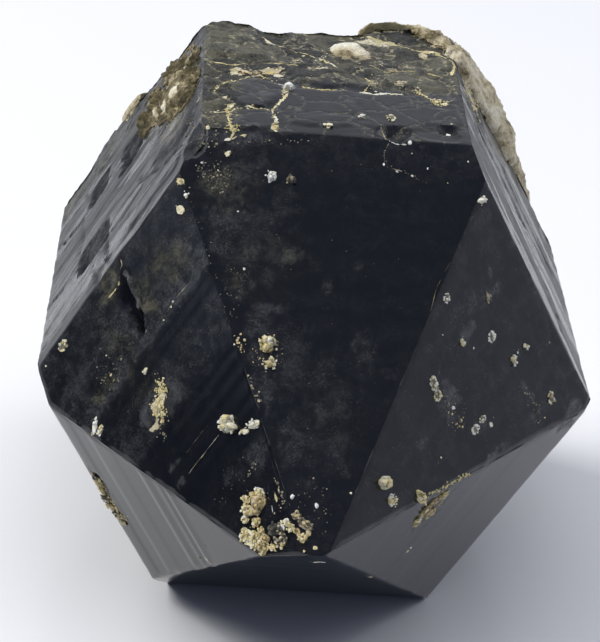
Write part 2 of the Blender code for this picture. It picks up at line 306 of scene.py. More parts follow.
veinLists = {  # half width, depth, amount of pale film, and the line it follows
    "top": [
        (0.34, 0.16, 0.95, [(-6.6, 36.6), (-6.4, 38.6), (-6.6, 41), (-7.3, 42.7), (-6.4, 44.2), (-5.6, 46.6),
            (-5, 48.6)]),
        (0.26, 0.12, 0.75, [(-11.1, 36.7), (-10.8, 40.2), (-11.2, 42.4), (-11.4, 44.6), (-12.3, 46.6), (-12.6, 49)]),
        (0.24, 0.1, 0.7, [(-11.2, 42.6), (-9.4, 42.8), (-7.2, 42.6)]),
        (0.24, 0.08, 0.62, [(-12.2, 49.4), (-10.2, 50.9), (-8, 51.4), (-6.2, 50.2), (-5.2, 48.8)]),
        (0.2, 0.12, 0.62, [(-4.4, 49.6), (-2.4, 49.3), (-0.6, 49.7), (1.4, 49.9), (3, 49.7)]),
        (0.3, 0.14, 0.92, [(3.2, 49.4), (5, 49.1), (7.8, 49.4)]),
        (0.18, 0.1, 0.45, [(4, 49.5), (4.4, 52), (3.4, 55), (1.4, 57.4), (0.4, 60.4)]),
        (0.24, 0.1, 0.66, [(9.2, 51.4), (10.2, 49.4), (11.6, 47.2), (12, 46.2)]),
        (0.26, 0.06, 0.74, [(-8.2, 64), (-5, 61.4), (-2.6, 59), (-0.4, 57.3)]),
        (0.14, 0.06, 0.12, [(-0.6, 42.2), (1.8, 42.5), (3.4, 41.2), (5, 39.4), (6, 37)]),
        (0.2, 0.06, 0.5, [(-13.8, 43.4), (-13.2, 47), (-11.4, 52.2)]),
    ],
    "upperLeft": [
        (0.2, 0.16, 0, [(-5.2, 42.2), (-4.6, 38), (-3.9, 35.2), (-3.4, 32.6)]),
        (0.2, 0.16, 0, [(-2.6, 42.6), (-2.1, 38.4), (-1.6, 35.6), (-0.6, 32.8)]),
        (0.24, 0.16, 0, [(-2.6, 43), (0.8, 41.4), (2.2, 42.6), (4.4, 43.2)]),
        (0.22, 0.18, 0, [(3.6, 46.4), (6, 43), (9.2, 40.6), (12.4, 39.4)]),
        (0.18, 0.12, 0, [(-15.4, 46.2), (-12, 45.4), (-9.2, 46.4), (-8.2, 44.4)]),
        (0.2, 0.14, 0, [(-15.4, 61.6), (-12.4, 59.6), (-9.4, 59.2), (-8.2, 54), (-8.6, 48.6)]),
        (0.16, 0.14, 0, [(-2.3, 42.6), (-2.1, 38.5), (-1.2, 33.9)]),
        (0.2, 0.14, 0, [(-8.8, 66.4), (-7.4, 60.2), (-3, 61), (-0.4, 62.4)]),
        (0.4, 0.08, 0.95, [(6.6, 63.6), (8.4, 58.6), (10.2, 54)]), (0.55, 0, 1, [(8.8, 60.4), (10.6, 56), (12.8, 52)]),
        (0.14, 0.05, 0, [(0.6, 32), (-0.6, 29.8), (-1.2, 27.6)]),
    ],
    "upperRight": [
        (0.2, 0.14, 0, [(-15, 45), (-8, 46.6), (-2, 43.4), (4, 46), (8, 37)]),
        (0.2, 0.14, 0, [(-12, 56), (-4, 57.6), (2, 52), (10, 53.4), (15, 55)]),
    ],
}
smudgeLists = {  # by layer: u, y, half width, half length and amount of each soft patch
    "upperLeft": [
        ("olive", [(-1.4, 31.8, 1.6, 1.1, 1)]),
        ("haze", [
            (-1.4, 31.7, 1.5, 0.9, 0.7), (0.6, 26.4, 1.3, 1.4, 0.8), (7.4, 27.2, 2, 1.2, 0.8),
            (-1.6, 24.7, 1.1, 0.9, 0.7), (-9.6, 26.4, 0.9, 1.1, 0.6),
        ]),
        ("olive", [
            (5.6, 27.4, 3.6, 2.6, 1), (0.6, 27, 1.8, 2.6, 1), (-2.6, 30.6, 2.6, 1.2, 0.9), (-5.6, 27, 2.2, 2.8, 0.6),
            (-9.4, 25.4, 2.2, 1, 0.9), (-6, 22.8, 2.6, 1.4, 0.7),
        ]),
        ("haze", [
            (4.6, 26, 4.4, 1.8, 0.55), (0.2, 28.4, 1.2, 2.8, 0.75), (-4.6, 26.8, 3, 3, 0.45),
            (-9.6, 25.4, 2, 0.9, 0.5), (-6.4, 20.4, 5, 1.6, 0.4), (3.2, 20.4, 4, 2, 0.35), (0, 9.2, 2.4, 1.2, 0.5),
            (-3.6, 9.8, 1.6, 0.9, 0.4), (7.2, 27.8, 1.4, 1.2, 0.45), (-3, 30.9, 1.8, 0.5, 0.9),
        ]),
        ("rough", [(-1.6, 28.6, 1.4, 2.6, 0.5)]),
        ("film", [
            (-5.3, 20, 1.9, 0.75, 0.82), (-7.4, 18.9, 0.9, 0.45, 0.95), (-7.2, 17.5, 0.8, 0.5, 0.45),
            (-10.2, 25.7, 0.9, 0.35, 0.42),
        ]),
        ("rough", [(-5.8, 19.7, 2.6, 1.3, 1)]), ("haze", [(-8.2, 15, 0.8, 0.22, 0.9), (-8.8, 13.5, 0.7, 0.3, 0.8)]),
        ("rough", [(11.5, 45, 4, 6, 0.8), (9.6, 58, 5.5, 8, 1)]),
        ("film", [(10.2, 57, 3, 2.6, 0.62), (8.4, 55.8, 2.4, 1.2, 0.6), (7.6, 66, 3, 3, 0.36)]),
        ("haze", [(9.8, 56, 5, 9, 1)]), ("olive", [(9, 56, 7, 11, 1)]), ("film", [(15.4, 45, 0.8, 3, 0.45)]),
        ("rough", [(2.6, 73, 3.4, 6, 1)]),
    ],
    "top": [
        ("rough", [(-10, 35.6, 6, 1.6, 1)]), ("haze", [(-9.6, 35.7, 5.4, 0.6, 0.9), (-12, 31.8, 3, 1.9, 0.6)]),
        ("film", [(-12.2, 31.2, 1.9, 1.1, 0.42)]), ("rough", [(-12.2, 31.6, 2.6, 1.8, 0.8)]),
        ("olive", [(-12, 31, 3.4, 2.4, 0.8)]), ("haze", [(-7.4, 27.4, 4.6, 4.4, 0.25), (-9.9, 22.8, 0.9, 0.8, 0.95)]),
        ("olive", [(-9.9, 22.8, 1.2, 1, 1)]),
        ("haze", [
            (-0.5, 23, 0.5, 0.8, 0.6), (-4.6, 25.2, 1.4, 0.7, 0.55), (-6, 20.6, 1.8, 0.5, 0.6),
            (-8.8, 28.6, 1, 0.7, 0.6), (-4, 16.4, 4, 3.6, 0.36), (0, 12.6, 3.8, 4.6, 0.24), (-1, 6.6, 2.4, 3.4, 0.24),
            (1.6, 13.4, 1.8, 1.6, 0.26), (-12, 28.6, 2, 1.4, 0.45),
        ]),
        ("olive", [(-7, 24, 4, 4, 0.5), (1, 12, 3, 3, 0.4)]),
        ("haze", [
            (6, 15.6, 0.8, 0.6, 0.3), (2.6, 24.8, 0.6, 0.5, 0.4), (5.2, 22.9, 0.4, 0.6, 0.5), (1.4, 31, 0.5, 0.4, 0.4),
            (-11, 27, 1.6, 2.4, 0.55), (-9.6, 33.2, 3.4, 1.6, 0.5), (-9, 24, 1.8, 3, 0.42), (-5.2, 30, 1.6, 1.6, 0.28),
            (-6.6, 14.6, 1.6, 2.6, 0.6), (-3.4, 9.4, 1.6, 2.6, 0.45), (-7.4, 19, 1.4, 1.2, 0.5),
            (1.2, 9, 1.6, 2.4, 0.3), (3.4, 17.6, 1.4, 1.8, 0.4),
        ]),
        ("film", [
            (-10.6, 53.4, 0.9, 1.3, 0.85), (-7.2, 54, 1.2, 1.2, 0.75), (-6.2, 52.4, 0.8, 0.7, 0.8),
            (-5, 48.8, 0.7, 0.8, 0.95), (-6.6, 37.6, 0.5, 0.9, 0.95), (-1.1, 38.8, 0.6, 0.5, 0.95),
            (2.6, 42, 0.4, 0.5, 0.9), (11.8, 39.8, 0.4, 0.7, 0.85), (11.9, 47.2, 0.6, 1, 0.8),
            (3.8, 49.3, 0.6, 0.5, 0.95), (-11.2, 43.4, 0.5, 1.3, 0.75), (-11.6, 47.6, 0.8, 2, 0.42),
            (10.6, 62.6, 0.8, 2.6, 0.75), (5.8, 65.2, 5, 1.4, 0.62), (10, 56.6, 2, 3, 0.36), (-8.6, 63, 5, 1.6, 0.36),
            (12.8, 53, 1, 4, 0.45), (-4, 57.6, 3.6, 2.2, 0.3), (1, 57.4, 2, 1.4, 0.32), (-8, 59, 4, 2.2, 0.3),
            (3, 52.4, 2, 1.8, 0.34),
        ]),
        ("rough", [(7.1, 38.6, 1.6, 2.4, 0.5), (11.8, 39.8, 1.4, 1.8, 0.7)]), ("haze", [(-8, 47, 2.4, 2.6, 0.5)]),
        ("rough", [(-12.8, 42, 1.8, 7, 0.9)]),
    ],
    "upperRight": [
        ("haze", [
            (-3, 23.8, 0.8, 1.7, 1), (-3.7, 28, 0.5, 1.8, 0.9), (0.2, 18.9, 2.4, 1, 0.8), (9.8, 20, 0.7, 2.2, 0.9),
            (3.9, 27.9, 0.6, 1.7, 0.55), (-5, 25.4, 0.9, 1.8, 0.45), (5.8, 20.2, 1, 1.1, 0.7),
            (8.4, 27, 2.6, 0.5, 0.7), (2.4, 18, 0.9, 0.9, 0.9), (-5.2, 19.2, 0.6, 0.8, 0.5),
            (1.5, 13.6, 0.9, 2.4, 0.4), (-4.6, 23.4, 2.2, 0.9, 0.42),
        ]),
        ("film", [(-1.6, 17.9, 1.3, 0.5, 0.5), (3.4, 18.9, 1, 0.9, 0.44), (0.4, 18.9, 1.2, 0.6, 0.4)]),
        ("haze", [(0, 18.4, 3.6, 1.6, 0.3)]),
        ("film", [(-0.3, 15.5, 0.8, 0.5, 0.36), (-0.9, 11.2, 0.5, 0.35, 0.44), (8.4, 27.1, 1, 0.35, 0.5)]),
        ("haze", [(9, 26.8, 2.4, 0.6, 0.55)]), ("film", [(5.6, 20.8, 0.6, 0.4, 0.42)]),
        ("haze", [(-5.4, 29.2, 0.8, 0.4, 0.6)]), ("film", [(6.6, 22.2, 0.4, 0.5, 0.55)]),
        ("haze", [(10.6, 26.3, 1.6, 0.4, 0.5), (3, 31, 8, 0.8, 0.18)]), ("rough", [(14.6, 31, 0.9, 1.6, 0.8)]),
        ("haze", [(14.6, 31, 0.8, 1.6, 0.8)]),
        ("film", [(-14, 50, 1.6, 8, 0.3), (4.1, 28.2, 0.25, 0.3, 0.5), (-13, 62, 3, 8, 0.66)]),
        ("rough", [(-13, 60, 3.4, 10, 0.9)]),
    ],
    "lowerLeft": [
        ("rough", [(0, 28.6, 3, 1.6, 0.9)]), ("film", [(-1.4, 28.4, 2.2, 1, 0.4)]), ("olive", [(0, 28.4, 4, 2.4, 1)]),
        ("haze", [(0, 28.4, 3.4, 1.6, 0.7), (-4, 12.4, 1.2, 0.8, 0.4)]), ("film", [(-5, 14.2, 0.5, 0.4, 0.6)]),
        ("rough", [(2, 54, 9, 12, 0.3)]), ("film", [(7, 71, 6, 4, 0.5)]),
    ],
    "lowerRight": [
        ("film", [(-1.6, 14.9, 1.5, 0.7, 0.5)]), ("rough", [(-1.6, 14.9, 2.6, 1.4, 0.9)]),
        ("olive", [(-1.8, 15, 3.4, 1.8, 1)]), ("haze", [(-1.8, 15.2, 3, 1.3, 0.7)]),
        ("film", [(4.6, 17.2, 0.4, 0.22, 0.85)]), ("haze", [(0.8, 26.3, 0.4, 0.7, 0.5), (-9, 24.5, 1.6, 0.5, 0.4)]),
        ("rough", [(-12, 30, 1.4, 1.8, 0.8)]), ("film", [(-10, 69, 6, 5, 0.5)]),
    ],
    "bottom": [
        # two pale marks near the lower face's edges: painted highlights on small chips
        ("film", [(-6.3, 15.4, 0.5, 0.6, 0.7), (0.2, 5.6, 0.5, 0.5, 0.7)]), ("haze", [(6, 10, 4, 1.4, 0.3)]),
        ("rough", [(0, 50, 12, 14, 0.35)]),
    ],
}
hazeProfiles = {  # y and the share of veil that the whole face has there
    "upperLeft": (
        (0, 0.18), (9, 0.08), (12, 0.02), (17.9, 0.06), (18.3, 0.26), (20, 0.32), (22, 0.22), (22.6, 0.08),
        (23.7, 0.1), (24.4, 0.52), (25.4, 0.46), (26.4, 0.26), (28.2, 0.38), (29, 0.22), (31, 0.2), (32.4, 0.34),
    ),
    "top": (
        (0, 0.12), (8, 0.09), (14, 0.07), (17.4, 0.07), (18, 0.03), (19.4, 0.08), (20.7, 0.02), (21.5, 0.09),
        (22.9, 0.03), (24, 0.08), (26.2, 0.03), (27, 0.08), (28.9, 0.03), (29.8, 0.08), (31.6, 0.04), (32.6, 0.08),
        (36.4, 0.2),
    ),
    "upperRight": ((0, 0.17), (10, 0.15), (20, 0.13), (22.4, 0.19), (24.4, 0.16), (26, 0.18), (30, 0.18), (33, 0.22)),
    "lowerLeft": ((0, 0.05), (36, 0.05)),
    "lowerRight": ((0, 0.08), (36, 0.14)),
    "bottom": ((0, 0.02), (36, 0.02)),
}
terraces = {  # y of each lamella's edge, height of the step, and how the veil changes past it; the veil steps are partly painted reflection of each lamella's tilt
    "upperLeft": [
        (33.5, -0.1, 0.1), (35, 0.16, 0.16), (37.3, -0.12, -0.2), (39.4, 0.14, 0.22), (41.6, -0.2, -0.22),
        (44.6, 0.14, 0.1), (47.6, 0.16, 0.14), (51.2, -0.14, -0.22), (54.2, 0.18, 0.12), (57, -0.22, -0.1),
        (60.2, 0.2, 0.2), (64, -0.12, -0.14), (68, 0.16, 0.16), (72, -0.14, -0.12),
    ],
    "upperRight": [
        (34.6, -0.08, 0.14), (37, 0.12, -0.16), (40, -0.14, 0.2), (42.6, 0.12, -0.14), (46.6, -0.12, 0.12),
        (49.4, 0.16, -0.16), (53.4, -0.12, 0.16), (57.8, 0.14, -0.08), (62, -0.12, 0.1), (67, 0.12, -0.1),
    ],
    "lowerLeft": [(34, 0.08, 0.06), (40, -0.12, -0.06), (47, 0.14, 0.06), (54, -0.14, -0.06), (62, 0.12, 0.06)],
    "lowerRight": [(36, 0.08, 0.06), (43, -0.12, -0.06), (49, 0.14, 0.06), (57, -0.14, -0.06), (65, 0.12, 0.06)],
    "bottom": [(42, -0.03, 0.04), (56, -0.03, -0.04)],
}
sideVeil = {"upperLeft": 0.10, "upperRight": 0.05}
cleft = {  # the dark wedge-shaped cleft: its outline as u and y, and how fast it deepens towards the tip
    "side": "upperLeft",
    "outline": [(-0.1, 30.9), (-1.1, 30.5), (-2.7, 29.5), (-2.3, 28.0), (-2.5, 26.4), (-2.5, 25.2), (-1.0, 26.6),
                (-1.2, 27.8), (-0.8, 29.2), (0.0, 30.3)],
    "topY": 31.4,
    "slope": 0.20,
    "step": 0.12,
}
chips = [  # middle and half axes in mm from the tip level, turn in degrees, and roughness of each chip
    ((6.0, 38.2, 57.4), (3.6, 3.2, 4.2), (0, 0, 0), 0.15),
    ((-8.6, 35.3, 56.2), (7.4, 2.8, 2.6), (0, 0, 0), 1.0),
    ((-15.9, 34.4, 53.7), (2.6, 5.2, 2.2), (0, 30, 0), 1.0),
    ((11.8, 40.2, 55.6), (1.7, 1.5, 2.2), (0, 0, 0), 0.3),
    ((11.9, 22.6, 44.8), (0.8, 0.8, 3.4), (-40, 20, 0), 0.0),
    ((31.2, 31.6, 26.2), (1.9, 2.2, 1.9), (0, 0, 0), 0.6),
    ((-16.8, 28.2, 0.4), (2.2, 2.0, 2.2), (0, 0, 0), 0.6),
]
reliefSettings = {  # mm, or a share where it says so
    "lineGap": (0.5, 2.4),  # between two fine growth lines of a prism face
    "lineRise": 0.008,
    "terraceShare": 0.35,  # share of each lamella's step that is built
    "terraceGroove": 0.07,
    "recessBelow": -0.25,  # a plate sunk further than this is a recess that deepens towards the front
    "pyramidWave": 0.012,
    "prismWave": 0.05,
    "topWave": 0.012,
    "coarseBreak": 0.16,  # on rough ground
    "fineBreak": 0.07,
    "backFrom": (49.4, 51.6),  # y where the stained back part of the top face starts
    "rimFrom": (64, 70),  # y where the surface turns rough before the break
}


def softPatch(u, y, cu, cy, ru, ry, seed):
    wob = 0.45 * rubble(u, y, max(ru, ry) * 0.7, seed) + 0.20 * rubble(u, y, 0.7, seed + 1)
    r = np.hypot((u - cu) / ru, (y - cy) / ry) + wob
    return 1 - step(r, 0.35, 1.25)


def insideOutline(u, y, outline):
    # share of each point inside a closed outline, softened over its border
    inside = np.zeros(u.shape, bool)
    for (u0, y0), (u1, y1) in zip(outline, outline[1:] + outline[:1]):
        crosses = (y0 > y) != (y1 > y)
        at = u0 + (y - y0) / (y1 - y0 if y1 != y0 else 1e-9) * (u1 - u0)
        inside ^= crosses & (u < at)
    away = nearLine(u, y, outline + outline[:1])
    return step(np.where(inside, away, -away), -0.10, 0.14)


def paintFace(name, u, y, toEdge):
    s = reliefSettings
    side = sideSettings[name]
    pyramid = 1 - step(y, side["shoulder"] - 0.15, side["shoulder"] + 0.15)
    prism = 1 - pyramid
    layers = {k: np.zeros(u.shape) for k in ("haze", "olive", "film", "rough", "clear", "plates", "lamella")}
    lift = np.zeros(u.shape)
    seed = 100 * sideNames.index(name)

    def raiseTo(layer, value):
        layers[layer] = np.maximum(layers[layer], value)

    def waves(size, more):
        return bumps(u, y, size, seed + more)

    def across(size, more):
        return bumps(u, y * 0, size, seed + more)

    def ground(size, more):
        return rubble(u, y, size, seed + more)

    # growth lines of the pyramid face, as a saw-tooth of low risers
    knots, heights = [-10.0], [0.0]
    for at, rise, width in growthLines[name]:
        knots += [at - width / 2, at + width / 2]
        heights += [-rise / 2, rise / 2]
    knots.append(60.0)
    heights.append(0.0)
    drift = 0.22 * across(9.0, 3)
    lift += np.interp(y + drift * 0.3, knots, heights) * pyramid

    # finer growth lines on the prism face, unevenly spaced and broken
    rng = np.random.default_rng(seed + 5)
    at, knots, heights = side["shoulder"], [side["shoulder"]], [0.0]
    while at < 90:
        at += rng.uniform(*s["lineGap"])
        rise = rng.uniform(-1, 1) * s["lineRise"]
        knots += [at, at + 0.25]
        heights += [-rise / 2, rise / 2]
    shift = 0.9 * waves(7.0, 6)
    lift += np.interp(y + shift, knots, heights) * prism * (0.4 + 0.6 * step(waves(6.0, 7), -0.4, 0.5))

    # lamellae across the prism face, with a groove along parts of their edges, and a veil step past each edge that is
    # partly real veil, partly painted reflection of the lamella's tilt
    veil = 0.0
    for k, (at, rise, veilAndSheenChange) in enumerate(terraces.get(name, [])):
        away = y - at - 1.1 * across(7.0, 70 + k) - 0.45 * across(2.3, 90 + k)
        past = step(away, -0.16, 0.16)
        lift += (past - 0.5) * rise * s["terraceShare"] * prism
        # painted reflection: each lamella's own veil level stands in for the brighter and darker mirror images of its
        # tilt
        veil = veil + past * veilAndSheenChange
        parts = step(across(3.6, 110 + k), -0.1, 0.5)
        lift -= np.exp(-(away / 0.24) ** 2) * s["terraceGroove"] * parts * prism
        # the veil is cleared along the grooves, so they show dark: painted shade
        raiseTo("clear", np.exp(-(away / 0.30) ** 2) * parts * prism * 0.8)

    # growth plates, and recesses that lose their veil as painted shade
    wu = u + 0.45 * ground(2.2, 8)
    wy = y + 0.55 * ground(2.6, 9)
    for cu, cy, ru, ry, height, corner in plateLists[name]:
        du = np.maximum(np.abs(wu - cu) - ru + corner, 0)
        dy = np.maximum(np.abs(wy - cy) - ry + corner, 0)
        inside = 1 - step(np.hypot(du, dy) - corner, -0.22, 0.22)
        if height < s["recessBelow"]:
            raiseTo("rough", inside * 0.95)
            raiseTo("clear", inside * 0.7)
            inside = inside * (1 - np.clip((wy - cy + ry) / (2 * ry), 0, 1))
        lift += inside * height * prism

    # grooves and veins
    for width, depth, film, path in veinLists.get(name, []):
        wavy = u + 0.3 * ground(1.4, 10), y + 0.3 * ground(1.4, 11)
        width = width * (1 + 0.6 * ground(1.7, 12))
        here = np.exp(-(nearLine(*wavy, path) / np.maximum(width, 0.05)) ** 2)
        lift -= here * depth
        raiseTo("film", here * film * (0.56 + 0.8 * ground(1.1, 13)))

    for k, (layer, cu, cy, ru, ry, amount) in enumerate(rowsOf(smudgeLists[name])):
        raiseTo(layer, softPatch(u, y, cu, cy, ru, ry, seed + 20 + k) * amount)
    raiseTo("haze", np.interp(y + drift, *zip(*hazeProfiles[name])) * pyramid)

    if name == "top":
        layers["haze"] = layers["haze"] * (1 - 0.22 * pyramid)
        back = step(y + 1.2 * ground(5.0, 50), *s["backFrom"])
        left = step(-u + 1.5 * ground(4.0, 51), 9.6, 12.4) * prism
        for layer, behind, beside in (("rough", 0.9, 1), ("haze", 0.9, 0.55), ("olive", 0.85, 1)):
            raiseTo(layer, np.maximum(back * behind, left * beside))
        raiseTo("film", back * (0.20 + 0.26 * ground(3.2, 52)))
        raiseTo("haze", prism * 0.12)
        layers["plates"] = np.maximum(np.maximum(back, left), prism * 0.25)
    elif name in sideVeil:
        streak = 0.8 + 0.5 * bumps(u * 0.12, y, 1.6, seed + 55) + 0.25 * bumps(u * 0.2, y, 0.5, seed + 56)
        raiseTo("haze", prism * np.clip(sideVeil[name] + veil, 0.03, 0.9) * streak)
        if name == "upperRight":
            layers["haze"] = layers["haze"] * (1 + pyramid * 0.5 * bumps(u, y * 0.18, 0.9, seed + 58))
        raiseTo("rough", prism * 0.22)
    if name != "top":
        corner = softPatch(u, y, 10.4, 57.0, 7.0, 12.0, seed + 57) * prism if name == "upperLeft" else 0 * prism
        layers["plates"] = corner
        layers["lamella"] = prism * (1 - corner)

    rimward = step(y + 1.5 * ground(4.0, 60), *s["rimFrom"])
    for layer, amount in (("rough", 0.7), ("haze", 0.6), ("olive", 0.8)):
        raiseTo(layer, amount * rimward)

    # the cleared places keep no veil or film: painted shade in the grooves and recesses
    clear = layers.pop("clear")
    for layer in ("haze", "film"):
        layers[layer] = layers[layer] * (1 - clear)

    if name == cleft["side"]:
        wavy = u + 0.12 * waves(0.7, 61), y + 0.2 * waves(0.8, 62)
        inside = insideOutline(*wavy, cleft["outline"])
        lift -= inside * (cleft["step"] + (cleft["topY"] - y) * cleft["slope"])
        # inside the cleft the veils, films and roughness are taken out, so it shows the dark body: painted shade in the
        # hollow
        for layer in ("haze", "film", "olive", "rough"):
            layers[layer] = layers[layer] * (1 - inside)

    # gentle waviness, and broken ground where the face is rough
    lift += s["pyramidWave"] * waves(11.0, 14) * pyramid
    lift += s["topWave" if name == "top" else "prismWave"] * waves(8.0, 15) * prism
    broken = s["coarseBreak"] * ground(2.4, 16) + s["fineBreak"] * ground(0.8, 18)
    lift += layers["rough"] * broken
    lift *= step(toEdge, 0.0, 0.7)
    return lift, layers


def chipDepth(p, out):
    # how far each point sinks along its own normal before it reaches the chip's hollow
    x, y, z = p.T
    deepest, broken = np.zeros(len(p)), np.zeros(len(p))
    for centre, half, turn, roughness in chips:
        turned = Matrix.Identity(3)
        for angle, axis in zip(reversed(turn), "ZYX"):
            turned = turned @ Matrix.Rotation(math.radians(angle), 3, axis)
        turned = np.array(turned)
        wobble = 1 + 0.05 * rubble(x, y, 1.6, 900)
        q = ((p - np.array(centre) - np.array([0, tipY, 0])) @ turned) / np.array(half) * wobble[:, None]
        d = (-out @ turned) / np.array(half)
        a, b, c = (d * d).sum(1), 2 * (q * d).sum(1), (q * q).sum(1) - 1
        inside = c < 0
        root = np.where(inside, (-b + np.sqrt(np.maximum(b * b - 4 * a * c, 0))) / (2 * a), 0)
        here = np.where(inside, step(root, 0.0, 0.25), 0) * roughness
        ripple = 0.22 * rubble(x + z, y - z, 1.3, 901) + 0.10 * rubble(x, y, 0.6, 902)
        root = np.where(inside, root + here * ripple, 0)
        broken = np.maximum(broken, here)
        deepest = np.maximum(deepest, root)
    return deepest, broken


rimOutline = {  # u and y of the broken rim, on the side where the photo shows it
    "top": [(-15.0, 66.4), (-13.6, 67.8), (-11.6, 68.6), (-9.4, 68.0), (-8.0, 66.2), (-6.0, 65.6), (-4.4, 66.6),
            (-2.6, 66.0), (-1.0, 66.8), (0.6, 66.2), (4.0, 67.0), (5.4, 69.0), (8.0, 70.0), (10.4, 68.6),
            (12.0, 66.0), (14.4, 64.0)],
}
crystalSettings = {
    "firstY": 0.37,  # mm back from the tip level where the blunt tip starts
    "lastPyramidY": 37.0,
    "pyramidStep": 0.27,
    "prismStep": 0.36,
    "backY": 77.4,
    "baseRings": 26,
    "edgeWear": 0.06,  # depth of the wear on the long edges
    "edgeWidth": 0.30,
    "smoothAngle": 32,
}
baseLayers = {"haze": 0.9, "olive": 0.9, "film": 0.34, "rough": 0.8, "plates": 0.6, "lamella": 0.0}


def rowList():
    s = crystalSettings
    ys = np.concatenate([np.arange(s["firstY"], s["lastPyramidY"], s["pyramidStep"]),
                         np.arange(s["lastPyramidY"], s["backY"], s["prismStep"])])
    for side in sideSettings.values():  # a row lies on every shoulder edge
        ys[np.abs(ys - side["shoulder"]).argmin()] = side["shoulder"]
    return np.sort(ys)


def columnShares():
    # which side each column lies on, and how far along it; the last column meets the first
    sideOf, share = [], []
    for i, side in enumerate(sideSettings.values()):
        t = np.arange(side["columns"]) / side["columns"]
        share += list(0.45 * t + 0.55 * (0.5 - 0.5 * np.cos(math.pi * t)))  # closer together near the edges
        sideOf += [i] * len(t)
    return np.array(sideOf + [0]), np.array(share + [0.0])


def lineEnds(rows):
    # x and z of both ends of every side's line in each section
    dist, low, high = sections(rows)
    present = high > low
    ends = np.zeros((len(sideNames), 2, len(rows), 2))
    for i, side in enumerate(sideSettings.values()):
        for e, limit in enumerate((low, high)):
            ends[i, e] = dist[i][:, None] * side["out"][[0, 2]] + limit[i][:, None] * side["along"][[0, 2]]
    # a side that has no length in a section shrinks to the section's furthest corner
    for i, side in enumerate(sideSettings.values()):
        for r in np.flatnonzero(~present[i]):
            others = [ends[k, e, r] for k in range(len(sideNames)) if present[k, r] for e in (0, 1)]
            ends[i, :, r] = max(others, key=lambda q: float(q @ side["out"][[0, 2]]))
    return ends


def normalDown(side, rows):
    prism = step(rows, side["shoulder"] - 0.2, side["shoulder"] + 0.2)[:, None, None]
    return side["slope"] * (1 - prism) + side["out"] * prism


def faceSheet(rows, sideOf, share):
    # the six sides as one sheet of points, with their relief, their u and the layers for the material
    s = crystalSettings
    ends = lineEnds(rows)
    shape = (len(rows), len(sideOf))
    x, z, u, lift = (np.zeros(shape) for k in range(4))
    out = np.zeros((*shape, 3))
    layers = {k: np.zeros(shape) for k in baseLayers}
    for i, (n, side) in enumerate(sideSettings.items()):
        here = np.flatnonzero(sideOf == i)
        a, b = ends[i]
        t = share[here][None, :]
        x[:, here] = a[:, :1] * (1 - t) + b[:, :1] * t
        z[:, here] = a[:, 1:] * (1 - t) + b[:, 1:] * t
        u[:, here] = x[:, here] * side["along"][0] + z[:, here] * side["along"][2]
        length = np.hypot(*(b - a).T)[:, None]
        toShoulder = np.abs(rows - side["shoulder"])[:, None]
        toEdge = np.minimum(np.minimum(t, 1 - t) * length, 0.25 + toShoulder)
        out[:, here] = normalDown(side, rows)
        y = np.repeat(rows[:, None], len(here), 1)
        lift[:, here], faceLayers = paintFace(n, u[:, here], y, toEdge)
        for k in layers:
            layers[k][:, here] = faceLayers[k]

        # the long edges are worn a little, and the wear turns towards the neighbour's side
        before, after = sideSettings[sideNames[i - 1]], sideSettings[sideNames[(i + 1) % 6]]
        for other, gap in ((before, t * length), (after, (1 - t) * length)):
            near = np.exp(-(gap / s["edgeWidth"]) ** 2)
            out[:, here] += normalDown(other, rows) * near[:, :, None]
            worn = 1 + 0.9 * rubble(y, y * 0 + i, 1.3, 700 + i) + 0.25 * rubble(y, y * 0, 4.5, 720 + i)
            lift[:, here] -= near * np.maximum(s["edgeWear"] * worn, 0.02)
        shoulderWear = np.exp(-(toShoulder / 0.28) ** 2) * s["edgeWear"] * 0.9
        lift[:, here] -= shoulderWear * (1 + 0.35 * rubble(u[:, here], y * 0, 1.1, 740 + i))
    out /= np.linalg.norm(out, axis=2, keepdims=True)

    y = np.repeat(rows[:, None], len(sideOf), 1)
    p = np.stack([x, y + tipY, z + axisZ], 2).reshape(-1, 3)
    out = out.reshape(-1, 3)
    depth, broken = chipDepth(p, out)
    p = (p + out * (lift.reshape(-1) - depth)[:, None]).reshape(*shape, 3)
    for layer, amount in (("rough", 0.8), ("haze", 0.6)):
        layers[layer] = np.maximum(layers[layer], broken.reshape(shape) * amount)
    return p, u, layers


def baseSurface(tree, x, z):
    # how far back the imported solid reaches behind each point, averaged to soften its facets
    out = np.zeros(len(x))
    for ox, oz in ((0, 0), (0.9, 0), (-0.9, 0), (0, 0.9), (0, -0.9)):
        for k in range(len(x)):
            px = x[k] * 0.985 + ox * (abs(x[k]) < 24)
            pz = (z[k] - axisZ) * 0.985 + axisZ + oz * (abs(z[k] - axisZ) < 22)
            hit = tree.ray_cast(Vector((px * mm, 16 * mm, pz * mm)), Vector((0, 1, 0)))[0]
            out[k] += (hit.y / mm - tipY) / 5 if hit else 72.0 / 5
    return out


def breakBack(p, u, sideOf, tree):
    # points past the break slide forward onto it
    last = p[-1]
    breakY = baseSurface(tree, last[:, 0], last[:, 2])
    breakY = breakY - 0.35 - 0.5 * np.abs(rubble(last[:, 0], last[:, 2], 2.2, 801))
    for i, n in enumerate(sideNames):
        if n in rimOutline:
            here = np.flatnonzero(sideOf == i)
            seen = np.interp(u[-1, here], *zip(*rimOutline[n]))
            breakY[here] = seen + 0.25 * rubble(u[-1, here], u[-1, here] * 0, 1.2, 810 + i)
    p[:, :, 2] = np.maximum(p[:, :, 2], 0.0)
    p[:, :, 1] = np.minimum(p[:, :, 1], breakY + tipY)


